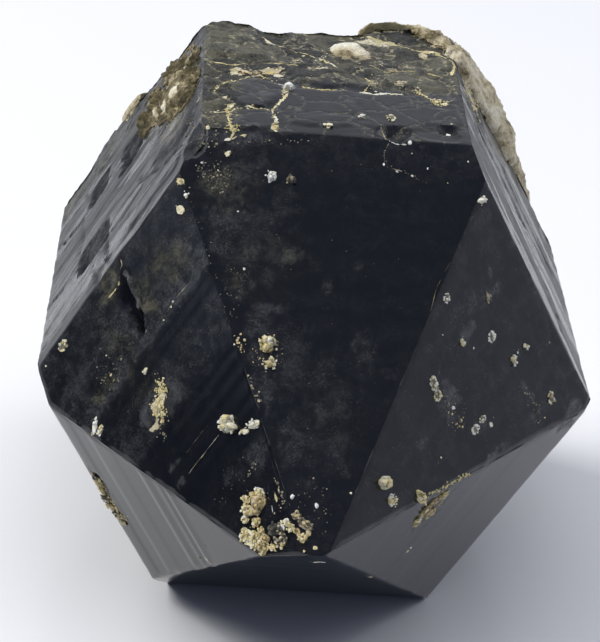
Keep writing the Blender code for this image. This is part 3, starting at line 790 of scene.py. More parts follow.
def baseRings(rim, tree):
    # the broken base, as rings that shrink towards the axis
    count = crystalSettings["baseRings"]
    rings = []
    for k in range(1, count + 1):
        f = 1 - (k / count) ** 0.92
        q = rim.copy()
        q[:, 0] *= f
        q[:, 2] = axisZ + (q[:, 2] - axisZ) * f
        a, b = q[:, 0], q[:, 2]
        fracture = 0.5 * np.abs(rubble(a, b, 6.0, 802)) + 0.35 * np.abs(rubble(a, b, 2.0, 803))
        fracture += 0.12 * rubble(a, b, 0.9, 804)
        q[:, 1] = baseSurface(tree, a, b) + tipY - 0.3 - np.maximum(fracture, 0)
        rings.append(q)
    return np.array(rings)


def buildCrystal():
    measureSides()
    rows = rowList()
    sideOf, share = columnShares()
    sheet, u, layers = faceSheet(rows, sideOf, share)
    tree = treeOf(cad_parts["smoky_quartz_crystal"])
    breakBack(sheet, u, sideOf, tree)
    base = baseRings(sheet[-1], tree)
    tip = np.repeat(sheet[:1].mean(1, keepdims=True), len(sideOf), 1)
    p = np.concatenate([tip, sheet, base], 0)
    p[0, :, 1] -= 0.02

    crystal, col, row = gridOf("crystalBody", p.shape[1], p.shape[0])
    movePoints(crystal, p[row, col] * mm)
    for k, layer in layers.items():
        behind = np.full(base.shape[:2], baseLayers[k])
        if k == "film":
            behind = baseLayers[k] + 0.34 * rubble(base[:, :, 0], base[:, :, 2], 7.0, 805)
        addLayer(crystal, k, np.concatenate([layer[:1], layer, behind], 0)[row, col])
    inEdit(crystal, ("remove_doubles", {"threshold": 1.5e-6}), ("dissolve_degenerate", {"threshold": 1e-6}),
           faceOutwards)
    smoothShade(crystal, crystalSettings["smoothAngle"])
    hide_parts("smoky_quartz_crystal")
    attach(crystal, "root")
    return crystal


# nodes of the materials

def addNode(tree, kind, inputs, **settings):
    n = tree.nodes.new("ShaderNode" + kind)
    for key, value in settings.items():
        setattr(n, key, value)
    for key, value in inputs.items():
        feed(tree, n.inputs[key], value)
    return n


def feed(tree, socket, value):
    # a link where the value is another node's socket, otherwise a fixed value
    if isinstance(value, bpy.types.NodeSocket):
        tree.links.new(value, socket)
    elif socket.type == "RGBA":
        socket.default_value = (*value, 1)
    else:
        socket.default_value = value


def newMaterial(name):
    mat = bpy.data.materials.new(name)
    mat.use_nodes = True
    return mat, mat.node_tree, mat.node_tree.nodes["Principled BSDF"]


def finishMaterial(tree, shader, colour, roughness, normal=None):
    feed(tree, shader.inputs["Base Color"], colour)
    feed(tree, shader.inputs["Roughness"], roughness)
    if normal is not None:
        feed(tree, shader.inputs["Normal"], normal)


def maths(tree, kind, values, clamp):
    # the values worked together from left to right; only the last result is kept between 0 and 1
    out = values[0]
    for k, value in enumerate(values[1:], 2):
        out = addNode(tree, "Math", {0: out, 1: value}, operation=kind, use_clamp=clamp and k == len(values)).outputs[0]
    return out


def times(tree, *values, clamp=False):
    return maths(tree, "MULTIPLY", values, clamp)


def plus(tree, *values, clamp=False):
    return maths(tree, "ADD", values, clamp)


def minus(tree, a, b):
    return maths(tree, "SUBTRACT", (a, b), False)


def swing(tree, value, amount):
    # a noise turned into a shift to both sides of 0
    return times(tree, minus(tree, value, 0.5), amount)


def inMillimetres(tree, stretch=(1, 1, 1)):
    coord = addNode(tree, "TexCoord", {})
    scale = [v / mm for v in stretch]
    return addNode(tree, "Mapping", {"Vector": coord.outputs["Object"], "Scale": scale}).outputs["Vector"]


def noiseOf(tree, vector, scale, detail=4.0, roughness=0.55, distortion=0.0):
    inputs = {"Vector": vector, "Scale": scale, "Detail": detail, "Roughness": roughness, "Distortion": distortion}
    return addNode(tree, "TexNoise", inputs).outputs["Fac"]


def spread(tree, value, low, high, toLow=0.0, toHigh=1.0):
    inputs = {"Value": value, "From Min": low, "From Max": high, "To Min": toLow, "To Max": toHigh}
    return addNode(tree, "MapRange", inputs, interpolation_type="SMOOTHSTEP").outputs["Result"]


def ramp(tree, value, stops):
    n = addNode(tree, "ValToRGB", {"Fac": value})
    while len(n.color_ramp.elements) < len(stops):
        n.color_ramp.elements.new(0.5)
    for element, (at, colour) in zip(n.color_ramp.elements, stops):
        element.position = at
        element.color = (*colour, 1)
    return n.outputs["Color"]


def blend(tree, share, a, b):
    # sockets 0, 6, 7 and 2 are the factor, both colours and the mixed colour
    return addNode(tree, "Mix", {0: share, 6: a, 7: b}, data_type="RGBA").outputs[2]


def attribute(tree, name):
    return addNode(tree, "Attribute", {}, attribute_name=name).outputs["Fac"]


def vectorMaths(tree, kind, a, b):
    return addNode(tree, "VectorMath", {0: a, 1: b}, operation=kind).outputs[0]


def warped(tree, vector, scale, amount):
    # the same places, shifted about by a noise
    noisy = addNode(tree, "TexNoise", {"Vector": vector, "Scale": scale, "Detail": 3}).outputs["Color"]
    centred = vectorMaths(tree, "SUBTRACT", noisy, (0.5, 0.5, 0.5))
    return vectorMaths(tree, "ADD", vector, vectorMaths(tree, "MULTIPLY", centred, (amount, amount, amount)))


def cellsOf(tree, vector):
    # a random value for each cell, and the distance to the cell's border
    tone = addNode(tree, "TexVoronoi", {"Vector": vector, "Scale": 1.0})
    border = addNode(tree, "TexVoronoi", {"Vector": vector, "Scale": 1.0}, feature="DISTANCE_TO_EDGE")
    return addNode(tree, "SeparateXYZ", {0: tone.outputs["Color"]}).outputs["X"], border.outputs["Distance"]


def shareBy(tree, mask, value):
    # 1 where the mask is 0, the value where it is 1
    less = value - 1.0 if isinstance(value, float) else minus(tree, value, 1.0)
    return plus(tree, times(tree, mask, less), 1.0)


def fineLines(tree, value, width):
    # thin lines where a noise passes through its middle
    off = addNode(tree, "Math", {0: minus(tree, value, 0.5)}, operation="ABSOLUTE").outputs[0]
    return spread(tree, off, 0.0, width, 1.0, 0.0)


def bump(tree, height, distance, strength, under=None):
    inputs = {"Height": height, "Distance": distance, "Strength": strength}
    if under is not None:
        inputs["Normal"] = under
    return addNode(tree, "Bump", inputs).outputs["Normal"]


quartzLook = {  # each noise is its scale per mm, detail, roughness and distortion
    "body": (0.0028, 0.0030, 0.0040),
    "coolVeil": (0.058, 0.060, 0.063),
    "scratchColour": (0.150, 0.145, 0.120),
    "oliveVeil": (0.104, 0.096, 0.060),
    "plateLine": (0.29, 0.265, 0.17),
    "films": [(0.30, (0.24, 0.19, 0.11)), (0.45, (0.46, 0.40, 0.24)), (0.58, (0.68, 0.63, 0.45)),
              (0.72, (0.78, 0.75, 0.62))],
    "gloss": 0.06,
    "cloud": (0.42, 6, 0.62, 0.6),
    "wisp": (1.5, 8, 0.68, 0.9),
    "grit": (4.5, 4, 0.6),
    "thread": (0.62, 6, 0.62, 1.6),
    "scratch": (1.7, 3, 0.5, 1.4),
    "scratchPlaces": (0.8, 3, 0.6),
    "filmTone": (0.55, 5, 0.65),
    "plateSize": (0.25, 0.27, 0.25),  # cells per mm across, along and up
    "sheetSize": (0.055, 0.30, 0.055),
    "brushSize": (0.05, 5.0, 0.05),
    "lineSize": (0.04, 3.2, 0.04),
    "lineDepth": 0.000012,  # depths in metres
    "brokenDepth": 0.00022,
    "filmDepth": 0.00010,
    "plateDepth": 0.00012,
    "sheetDepth": 0.00005,
}


def makeQuartz():
    mat, tree, shader = newMaterial("smokyQuartzMorion")
    look = quartzLook
    vec = inMillimetres(tree)
    haze, olive, film, rough, plates, lamella = (
        attribute(tree, k) for k in ("haze", "olive", "film", "rough", "plates", "lamella"))
    noises = ("cloud", "wisp", "grit", "thread", "scratch", "scratchPlaces", "filmTone")
    cloud, wisp, grit, thread, scratch, scratchPlaces, filmTone = (noiseOf(tree, vec, *look[k]) for k in noises)

    # overlapping growth plates on the top face, long lamellae on the other prism faces; their cell values give partly
    # painted reflection in the veil, and the lamella borders painted shade
    plateToneAndSheen, plateGap = cellsOf(tree, warped(tree, inMillimetres(tree, look["plateSize"]), 1.6, 0.9))
    sheetToneAndSheen, sheetGap = cellsOf(tree, warped(tree, inMillimetres(tree, look["sheetSize"]), 1.1, 0.45))
    sheetBroken = times(tree, lamella, spread(tree, cloud, 0.46, 0.60))
    sheetEdgeShade = times(tree, sheetBroken, spread(tree, sheetGap, 0.006, 0.034, 1.0, 0.0))
    plateEdge = times(tree, plates, spread(tree, plateGap, 0.015, 0.07, 1.0, 0.0))

    # the pale veil over the dark body, with clouds, wisps, grit and fine threads in it
    veil = times(tree, haze,
                 spread(tree, cloud, 0.38, 0.64, 0.22, 1.30),
                 spread(tree, wisp, 0.34, 0.68, 0.50, 1.40),
                 # each plate and lamella gets its own veil level: partly real veil, partly painted reflection of their
                 # differing tilts
                 shareBy(tree, plates, spread(tree, plateToneAndSheen, 0.05, 0.95, 0.18, 1.55)),
                 shareBy(tree, lamella, spread(tree, sheetToneAndSheen, 0.15, 0.85, 0.35, 1.6)),
                 spread(tree, grit, 0.32, 0.68, 0.62, 1.38),
                 # the veil is thinned along the lamella borders into dark lines: painted shade
                 minus(tree, 1.0, sheetEdgeShade))
    threads = times(tree, fineLines(tree, thread, 0.022), spread(tree, haze, 0.16, 0.5), haze, 0.6)
    veil = plus(tree, veil, threads, clamp=True)
    body = blend(tree, veil, look["body"], blend(tree, olive, look["coolVeil"], look["oliveVeil"]))
    scratches = times(tree, fineLines(tree, scratch, 0.014), spread(tree, scratchPlaces, 0.47, 0.58))
    body = blend(tree, times(tree, scratches, times(tree, haze, 1.8), clamp=True), body, look["scratchColour"])
    lined = times(tree, plateEdge, spread(tree, wisp, 0.46, 0.60), clamp=True)
    body = blend(tree, lined, body, look["plateLine"])

    # pale mineral films with ragged edges
    ragged = plus(tree, film, swing(tree, wisp, 0.9), swing(tree, grit, 0.5))
    filmShare = spread(tree, ragged, 0.48, 0.62)
    colour = blend(tree, filmShare, body, ramp(tree, filmTone, look["films"]))

    # gloss: glassy faces, satin where broken or filmed over
    brushed = noiseOf(tree, inMillimetres(tree, look["brushSize"]), 1.0, 3, 0.6)
    glassy = spread(tree, brushed, 0.3, 0.7, look["gloss"] * 0.7, look["gloss"] * 1.6)
    satin = plus(tree, times(tree, rough, spread(tree, wisp, 0.3, 0.7, 0.12, 0.50)),
                 times(tree, lamella, spread(tree, sheetToneAndSheen, 0.1, 0.9, 0.06, 0.28)))
    roughness = plus(tree, glassy, satin, times(tree, filmShare, 0.45), clamp=True)

    # fine growth lines square to the long axis, grit where the surface is broken
    lines = noiseOf(tree, inMillimetres(tree, look["lineSize"]), 1.0, 4, 0.6)
    calm = times(tree, spread(tree, rough, 0.0, 0.6, 1.0, 0.2), shareBy(tree, lamella, 0.45))
    normal = None
    for height, depth, strength in (
        (lines, "lineDepth", calm),
        (wisp, "brokenDepth", times(tree, rough, 0.75)),
        (grit, "filmDepth", times(tree, filmShare, 0.8)),
        (spread(tree, plateGap, 0.0, 0.14), "plateDepth", times(tree, plates, 0.8)),
        (spread(tree, sheetGap, 0.0, 0.05), "sheetDepth", times(tree, sheetBroken, 0.8)),
    ):
        normal = bump(tree, height, look[depth], strength, normal)
    shader.inputs["IOR"].default_value = 1.544
    shader.inputs["Specular IOR Level"].default_value = 0.5
    finishMaterial(tree, shader, colour, roughness, normal)
    return mat


say("building the crystal")
crystal = buildCrystal()
crystal.data.materials.append(makeQuartz())
crystalTree = treeOf(crystal)
say("crystal has %d faces" % len(crystal.data.polygons))


# the feldspar crusts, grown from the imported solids

feldsparLook = {
    "tones": [(0.26, (0.080, 0.070, 0.036)), (0.36, (0.19, 0.155, 0.080)), (0.44, (0.46, 0.39, 0.24)),
              (0.52, (0.74, 0.66, 0.47)), (0.64, (0.88, 0.85, 0.72))],
    "scale": 0.40,  # per mm
    "gloss": (0.55, 0.90),
    "grit": 0.00020,
}
crustExtras = {  # by side: u, y, half width, half length and thickness of the lumps added to a crust
    "feldspar_crust_rim": [
        ("top", [(13.2, 66.8, 1.9, 2.2, 0.9), (14.2, 63.6, 1.3, 2.6, 0.8), (11.2, 68.2, 2, 1.6, 0.8)]),
        ("upperRight", [(-14.6, 63, 1.4, 3, 0.9), (-13.6, 66.6, 2, 2.2, 0.9)]),
    ],
    "feldspar_crust_corner": [
        ("upperLeft", [
            (13.4, 50.4, 1.8, 1.8, 0.6), (11.4, 52.6, 2.4, 2.2, 0.6), (14.2, 54, 1.8, 1.6, 0.6),
            (9, 55.8, 2.6, 2, 0.6), (12.2, 57.6, 2.6, 2.2, 0.7), (6.8, 59.2, 2.4, 1.7, 0.6),
            (10.2, 61.6, 2.8, 2.2, 0.7), (13.6, 61, 2.2, 1.8, 0.6), (6.2, 63.6, 2.4, 1.7, 0.6), (12, 65, 2.4, 2, 0.6),
            (4.2, 60.6, 2, 1.3, 0.5), (3.6, 63.4, 1.8, 1.1, 0.5), (8.8, 67.4, 2, 1.7, 0.5), (5.4, 67, 1.8, 1.4, 0.5),
        ]),
    ],
}
crustShades = {  # shift of the whole crust, then patches: side, u, y, half axes along and up the side, shift
    "feldspar_crust_rim": (-0.01, [
        ("top", 6.6, 69.0, 3.4, 3.0, -0.26), ("top", 10.6, 67.4, 2.2, 2.4, -0.12),
        ("top", 13.6, 65.0, 1.6, 2.6, -0.08), ("upperRight", -9.0, 69.0, 3.0, 4.0, 0.03)]),
    "feldspar_crust_left_rim": (-0.03, []),
    "feldspar_crust_corner": (-0.16, [
        ("upperLeft", 11.4, 55.7, 1.5, 1.3, 0.27), ("upperLeft", 9.0, 55.7, 1.5, 0.8, 0.25),
        ("upperLeft", 6.6, 60.0, 2.2, 0.7, 0.17), ("upperLeft", 12.6, 61.0, 2.0, 1.0, 0.08),
        ("upperLeft", 3.8, 61.6, 3.6, 1.5, -0.06)]),
    "feldspar_crust_top": (-0.09, [("top", 0.9, 62.6, 3.0, 1.9, 0.16), ("top", 3.6, 61.0, 1.6, 1.2, 0.10)]),
}
crustShrink = {"feldspar_crust_left_rim": ((-21.4, 36.0, 41.8), 0.62)}  # point that stays, and scale about it
crustPieces = {  # node, grid size, swelling, thinning, smoothing and grit of each crust
    "rimFeldspar": ("feldspar_crust_rim", 0.24, 0.30, 0.20, 5, 0.8),
    "leftRimFeldspar": ("feldspar_crust_left_rim", 0.22, 0.22, 0.45, 5, 0.7),
    "topFeldspar": ("feldspar_crust_top", 0.14, 0.10, 0.94, 9, 0.5),
    "cornerFeldspar": ("feldspar_crust_corner", 0.17, 0.30, 0.35, 2, 1.3),
}


def makeFeldspar():
    mat, tree, shader = newMaterial("feldspar")
    look = feldsparLook
    vec = inMillimetres(tree)
    tone = noiseOf(tree, vec, look["scale"], 7, 0.68, 0.4)
    fine = noiseOf(tree, vec, look["scale"] * 7, 6, 0.7)
    mixed = plus(tree, times(tree, tone, 0.72), times(tree, fine, 0.28))
    mixed = plus(tree, mixed, attribute(tree, "shade"), clamp=True)
    cells = addNode(tree, "TexVoronoi", {"Vector": vec, "Scale": look["scale"] * 9}).outputs["Distance"]
    normal = bump(tree, fine, look["grit"] * 1.6, 0.8, bump(tree, cells, look["grit"], 0.6))
    shader.inputs["IOR"].default_value = 1.53
    gloss = spread(tree, fine, 0.3, 0.7, *look["gloss"])
    finishMaterial(tree, shader, ramp(tree, mixed, look["tones"]), gloss, normal)
    return mat


def settle(obj, tree, within=0.75, sink=0.12):
    # the underside is pressed a little into the crystal, so that nothing floats
    co = points(obj)
    for k in range(len(co)):
        near, normal, index, away = tree.find_nearest(Vector(co[k]))
        if near is None or away > within * mm:
            continue
        down = near - Vector(co[k])
        if down.length > 1e-9:
            share = 1 - step(away / mm, 0.32, within)
            co[k] += np.array(down.normalized()) * (away + sink * mm) * share
    movePoints(obj, co)


def stampAll(base, name, stamps):
    # copies of one modelled shape, joined into one piece; a stamp is (place, three axes)
    co = points(base)
    copies = [ownCopy(base) for stamp in stamps]
    for one, (place, axes) in zip(copies, stamps):
        one.data.vertices.foreach_set("co", ((co @ axes + place) * mm).reshape(-1))
    return joinAll(name, copies)


def roundLobe():
    bpy.ops.mesh.primitive_ico_sphere_add(subdivisions=3, radius=1)
    return named("lobePattern")


def growCrust(name, nodeName, look, voxel, swell, seed, thin, smoothing, grit):
    crust = ownCopy(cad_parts[nodeName])
    for key in list(crust.keys()):
        del crust[key]
    crust.parent = None
    crust.name = name
    crust.data.name = name
    crust.data.materials.clear()
    inEdit(crust, ("remove_doubles", {"threshold": 1e-6}))
    if nodeName in crustExtras:
        stamps = []
        for side, u, y, wide, high, thick in rowsOf(crustExtras[nodeName]):
            across, up, out = faceFrame(side, y)
            stamps.append((onFace(crystalTree, side, u, y), np.array([across * wide, up * high, out * thick])))
        base = roundLobe()
        lumps = stampAll(base, "extraLumps", stamps)
        removeAll(base)
        joinAll(name, [crust, lumps])
    remeshed(crust, voxel, smoothing)
    co = points(crust)
    normals = triples(crust.data.vertices, "normal")
    offset = Vector((seed * 3.1, seed * 1.7, seed * 0.9))
    for k in range(len(co)):
        v = Vector(co[k]) / mm
        big = noise.fractal(v * 0.55 + offset, 0.9, 2.0, 4)
        small = 1 - noise.voronoi(v * 1.35 + offset)[0][0] * 1.6
        co[k] += normals[k] * (big * swell + small * swell * grit) * mm
        near, normal, index, away = crystalTree.find_nearest(Vector(co[k]))
        co[k] += np.array(near - Vector(co[k])) * thin * step(away / mm, 0.3, 2.0)
    if nodeName in crustShrink:
        kept, scale = crustShrink[nodeName]
        co = (co / mm - kept) * scale * mm + np.array(kept) * mm
    movePoints(crust, co)
    settle(crust, crystalTree)
    whole, patches = crustShades[nodeName]
    shade = np.full(len(co), whole)
    for side, u, y, wide, high, amount in patches:
        across, up = faceFrame(side, y)[:2]
        away = points(crust) / mm - onFace(crystalTree, side, u, y)
        shade += amount * (1 - step(np.hypot(away @ across / wide, away @ up / high), 0.45, 1.2))
    addLayer(crust, "shade", shade)
    smoothShade(crust, 40)
    crust.data.materials.append(look)
    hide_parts(nodeName)
    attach(crust, "root")
    return crust


feldspar = makeFeldspar()
for order, (name, (nodeName, voxel, swell, thin, smoothing, grit)) in enumerate(crustPieces.items(), 1):
    piece = growCrust(name, nodeName, feldspar, voxel, swell, order, thin, smoothing, grit)
say("crusts grown")


# small growths, set on a face by its side, u and y

mineralLook = {
    "tones": [(0.00, (0.90, 0.90, 0.86)), (0.20, (0.82, 0.79, 0.60)), (0.36, (0.74, 0.61, 0.29)),
              (0.48, (0.46, 0.43, 0.22)), (0.60, (0.64, 0.49, 0.20)), (0.72, (0.70, 0.58, 0.41)),
              (0.82, (0.26, 0.225, 0.145)), (0.90, (0.13, 0.122, 0.085)), (1.00, (0.055, 0.055, 0.058))],
    # painted shade in the creases between lobes
    "gap": (0.030, 0.026, 0.014),
    "scale": 2.4,
    "drift": 0.50,
    "gloss": (0.12, 0.38),
    "grit": 0.00009,
}
grainKinds = {  # lobes, lobe size, on the rim only, height, tone, spread of tone, core, crumbs
    "beads": (9, 0.46, False, 0.90, 0.04, 0.10, 0.75, 5),
    "bead": (1, 1.00, False, 0.90, 0.22, 0.05, 0.0, 2),
    "glassy": (7, 0.44, False, 0.70, 0.90, 0.12, 0.8, 4),
    "net": (13, 0.40, False, 0.50, 0.30, 0.20, 0.6, 16),
    "knobbly": (13, 0.40, False, 0.70, 0.20, 0.16, 0.8, 10),
    "crust": (9, 0.46, False, 0.65, 0.18, 0.12, 0.8, 8),
    "block": (5, 0.62, False, 0.80, 0.16, 0.10, 0.7, 4),
    "lemon": (7, 0.52, False, 0.80, 0.36, 0.12, 0.75, 4),
    "shard": (3, 0.70, False, 0.70, 0.04, 0.06, 0.6, 4),
    "milky": (9, 0.44, False, 0.70, 0.26, 0.20, 0.8, 4),
    "rimmed": (15, 0.30, True, 0.50, 0.26, 0.10, 0.0, 4),
    "dots": (12, 0.26, False, 0.40, 0.24, 0.50, 0.0, 4),
    "ringed": (14, 0.26, True, 0.50, 0.16, 0.14, 0.0, 4),
    "outlined": (16, 0.30, True, 0.60, 0.08, 0.08, 0.6, 6),
    "cells": (18, 0.26, True, 0.50, 0.24, 0.22, 0.0, 8),
    "dusty": (8, 0.50, False, 0.40, 0.84, 0.10, 0.8, 4),
    "cream": (6, 0.60, False, 0.80, 0.24, 0.12, 0.7, 4),
    "wedge": (5, 0.60, False, 0.90, 0.18, 0.14, 0.7, 4),
    "pale": (5, 0.62, False, 0.75, 0.30, 0.16, 0.75, 4),
    "grainy": (12, 0.38, False, 0.65, 0.14, 0.24, 0.85, 8),
    "mossy": (9, 0.40, False, 0.40, 0.38, 0.14, 0.6, 4),
}
tipKind = (10, 0.40, False, 0.60, 0, 0.09, 0.85, 16)
tipPieces = {  # node and slot of each crust on the point and its edges
    "tipCrustUpper": ("tip_crust_upper", "tip_crust"),
    "tipCrustLower": ("tip_crust_lower", "tip_crust"),
    "tipCrustRight": ("tip_crust_right", "tip_crust"),
    "leftEdgeCrust": ("edge_crust_left", "feldspar"),
    "lowerEdgeCrust": ("edge_crust_lower_left", "feldspar"),
    "rightEdgeCrust": ("edge_crust_right", "feldspar"),
}
grainPlaces = [  # in the order of their numbers, by side: u, y, half width, half height, turn, kind
    ("top", [
        (-6.7, 32.3, 0.72, 0.72, 0, "beads"), (-4.6, 32.2, 0.72, 0.66, 0, "glassy"),
        (-11.3, 34.2, 0.36, 0.4, 0, "bead"), (-6.2, 17.4, 1.1, 0.98, 0, "net"), (-6, 15.9, 0.75, 0.78, 0, "net"),
    ]),
    ("upperRight", [(-12.2, 31.9, 0.8, 0.52, 0, "block")]),
    ("upperLeft", [
        (11.8, 31.5, 0.84, 0.52, 15, "lemon"), (11.3, 30.3, 0.56, 0.38, 0, "shard"),
        (9.8, 29.8, 0.83, 0.66, 0, "milky"), (-11, 31.4, 0.72, 0.7, -10, "rimmed"),
        (-0.5, 13.3, 1.25, 1.05, 0, "knobbly"), (0.5, 11.6, 0.85, 0.42, 35, "crust"),
        (1.7, 11.4, 1.15, 0.6, 35, "crust"),
    ]),
    ("top", [(-9.1, 17.5, 0.8, 0.7, 0, "dots")]), ("upperLeft", [(-4.6, 22.9, 0.26, 0.74, 0, "bead")]),
    ("upperRight", [
        (-7.6, 23.4, 0.46, 0.66, -40, "ringed"), (-3.7, 27.6, 0.46, 0.84, 0, "dusty"),
        (-2.6, 22.8, 0.46, 0.72, 5, "cream"), (-0.2, 26, 0.62, 0.66, 10, "outlined"),
        (3.9, 27.1, 0.5, 0.7, 0, "wedge"), (3.9, 29, 0.42, 0.46, 0, "cream"), (-2, 17.9, 0.6, 0.8, 20, "cells"),
        (-0.7, 17.7, 0.6, 0.62, 30, "cells"), (5.7, 19.7, 0.62, 0.62, 0, "outlined"),
        (5.6, 20.9, 0.6, 0.42, 0, "ringed"), (10.9, 29.1, 0.6, 0.78, 0, "rimmed"), (1, 8.5, 0.74, 0.8, 0, "pale"),
        (3.2, 8.3, 0.72, 0.82, 0, "grainy"), (5.7, 11.1, 0.62, 1, 10, "lemon"),
    ]),
    ("top", [
        (-6.5, 37.7, 0.42, 0.8, 0, "lemon"), (5.9, 42.2, 0.55, 0.85, 0, "rimmed"),
        (11.1, 47.8, 0.76, 0.69, 25, "mossy"), (-4.9, 48.9, 0.6, 0.8, 0, "shard"),
    ]),
]
tipLumps = {  # of each node, by side: u, y, half width, half height, turn and tone of each lump
    "tip_crust_upper": [
        ("upperLeft", [
            (-2.1, 7.1, 0.74, 0.4, 0, 0.12), (-2.8, 6.5, 0.86, 1, 0, 0.66), (-3.9, 7.6, 0.62, 0.45, 0, 0.3),
            (-4.5, 6.9, 0.8, 0.71, 0, 0.24), (-5.3, 6.5, 0.49, 0.4, 0, 0.15), (-3.6, 6.3, 0.61, 0.8, 0, 0.64),
            (-4.4, 5.6, 0.49, 0.6, 0, 0.58), (-3, 7.3, 0.49, 0.4, 0, 0.6),
        ]),
    ],
    "tip_crust_lower": [
        ("upperLeft", [
            (-6.1, 5.8, 0.74, 0.5, 0, 0.3), (-6.7, 5.6, 0.55, 0.51, 0, 0.2), (-5.7, 5.1, 0.73, 0.6, 0, 0.24),
            (-6.3, 4.8, 0.73, 0.5, 0, 0.14), (-4.7, 4.7, 0.55, 0.6, 0, 0.42), (-4.8, 4, 0.61, 0.6, 0, 0.62),
            (-6, 4.2, 0.61, 0.4, 0, 0.22), (-5.7, 3.6, 0.67, 0.5, 0, 0.58), (-5.4, 4.3, 0.49, 0.5, 0, 0.3),
            (-5.1, 3.5, 0.42, 0.4, 0, 0.5),
        ]),
    ],
    "tip_crust_right": [
        ("upperLeft", [
            (-3.3, 3.9, 0.72, 0.8, 0, 0.95), (-2.5, 3.5, 0.6, 0.7, 0, 0.9), (-3, 2.8, 0.6, 0.5, 0, 0.92),
            (-3.8, 3.1, 0.48, 0.4, 0, 0.9), (-1.9, 3.5, 0.48, 0.6, 0, 0.1), (-1.7, 2.9, 0.48, 0.5, 0, 0.3),
            (-3.4, 2.5, 0.36, 0.4, 0, 0.4), (-4.6, 3, 0.42, 0.4, 0, 0.34),
        ]),
        ("top", [
            (-1.8, 2.7, 0.87, 0.58, -35, 0.8), (-2.7, 3.4, 0.48, 0.51, 0, 0.78), (-2.1, 1.6, 0.53, 0.46, 0, 0.34),
            (-1.5, 2, 0.29, 0.41, 0, 0.66),
        ]),
        ("upperLeft", [(-1.4, 2.2, 0.4, 0.36, 0, 0.6)]),
    ],
    "edge_crust_left": [
        ("upperLeft", [(-13.5, 23.6, 0.34, 1.05, 10, 0.1), (-13.2, 22.9, 0.3, 0.6, 0, 0.24)]),
    ],
    "edge_crust_lower_left": [
        ("lowerLeft", [
            (2.1, 27.9, 0.6, 0.45, 0, 0.86), (1.2, 28.1, 0.6, 0.5, 0, 0.52), (0.2, 28.1, 0.55, 0.4, 0, 0.44),
            (-0.9, 28.3, 0.7, 0.55, 0, 0.88), (-2, 28.4, 0.7, 0.5, 0, 0.5), (-3.1, 28.1, 0.6, 0.45, 0, 0.86),
            (-4.1, 27.6, 0.5, 0.3, 0, 0.4),
        ]),
    ],
    "edge_crust_right": [
        ("lowerRight", [
            (-4.3, 14.6, 0.8, 0.4, 25, 0.42), (-3.4, 13.6, 0.8, 0.45, 40, 0.6), (-2.5, 13.2, 0.8, 0.4, 40, 0.5),
            (-1.8, 14.6, 0.7, 0.5, 40, 0.62), (-1, 13.4, 0.6, 0.35, 50, 0.3), (-0.3, 13.9, 0.5, 0.3, 50, 0.6),
        ]),
    ],
}


def makeMineral():
    # one mineral for the small growths: the tone attribute picks its colour, and the creases between lobes are darkened
    # as painted shade
    mat, tree, shader = newMaterial("paleMineral")
    look = mineralLook
    vec = inMillimetres(tree)
    cloud = noiseOf(tree, vec, look["scale"], 5, 0.65)
    fine = noiseOf(tree, vec, look["scale"] * 6, 4, 0.6)
    tone = plus(tree, attribute(tree, "tone"), swing(tree, cloud, look["drift"]), clamp=True)
    # painted shade: darker where two lobes meet
    gap = times(tree, attribute(tree, "gap"), spread(tree, cloud, 0.36, 0.62, 0.15, 0.95), clamp=True)
    colour = blend(tree, gap, ramp(tree, tone, look["tones"]), look["gap"])
    shader.inputs["IOR"].default_value = 1.53
    gloss = spread(tree, fine, 0.3, 0.7, *look["gloss"])
    finishMaterial(tree, shader, colour, gloss, bump(tree, fine, look["grit"], 0.7))
    return mat


def angularGrain(seed):
    # a rough grain of a few faces: an icosahedron with its corners pushed in and out
    bpy.ops.mesh.primitive_ico_sphere_add(subdivisions=1, radius=1)
    grain = named("angularPattern")
    rng = np.random.default_rng(seed)
    movePoints(grain, points(grain) * rng.uniform(0.72, 1.22, (12, 1)))
    inEdit(grain, ("convex_hull", {}), faceOutwards)
    return grain


def lobedPiece(name, nodeName, lobes, crumbs, voxel, roughness, seed, angular):
    # lobes grown together: (place, three axes, tone); the creases between them are marked, and the material paints
    # shade there
    base = angularGrain(seed + 40) if angular else roundLobe()
    piece = stampAll(base, name, [lobe[:2] for lobe in lobes])
    removeAll(base)
    remeshed(piece, voxel, 1)
    co = points(piece)
    away = np.array([np.linalg.norm((co / mm - place) @ np.linalg.inv(axes), axis=1) for place, axes, tone in lobes])
    order = np.argsort(away, axis=0)
    gap = np.zeros(len(co))
    if len(lobes) > 1:
        nearest, second = np.take_along_axis(away, order[:2], 0)
        gap = 1 - step(second - nearest, 0.0, 0.20)
    offset = Vector((seed * 3.1, seed * 1.7, seed * 0.9))
    normals = triples(piece.data.vertices, "normal")
    for k in range(len(co)):
        co[k] += normals[k] * noise.fractal(Vector(co[k]) / mm * 2.6 + offset, 0.7, 2.0, 4) * roughness * mm
    movePoints(piece, co)
    addLayer(piece, "tone", np.array([lobe[2] for lobe in lobes])[order[0]])
    addLayer(piece, "gap", gap)
    settle(piece, crystalTree)
    smoothShade(piece, 24 if angular else 50)

    # small angular grains over the lumps
    base = angularGrain(seed)
    grains = stampAll(base, "crumbs", [crumb[:2] for crumb in crumbs])
    removeAll(base)
    count = len(grains.data.vertices)
    addLayer(grains, "tone", np.repeat([crumb[2] for crumb in crumbs], count // len(crumbs)))
    addLayer(grains, "gap", np.zeros(count))
    joinAll(name, [piece, grains])
    piece.data.materials.append(mineral)
    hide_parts(nodeName)
    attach(piece, "root")
    return piece


def patchFrame(side, u, y, turn):
    across, up, out = faceFrame(side, y)
    return (*spun(across, up, math.radians(turn)), out, onFace(crystalTree, side, u, y))


def dome(r):
    return math.sqrt(max(0.0, 1 - r ** 2))


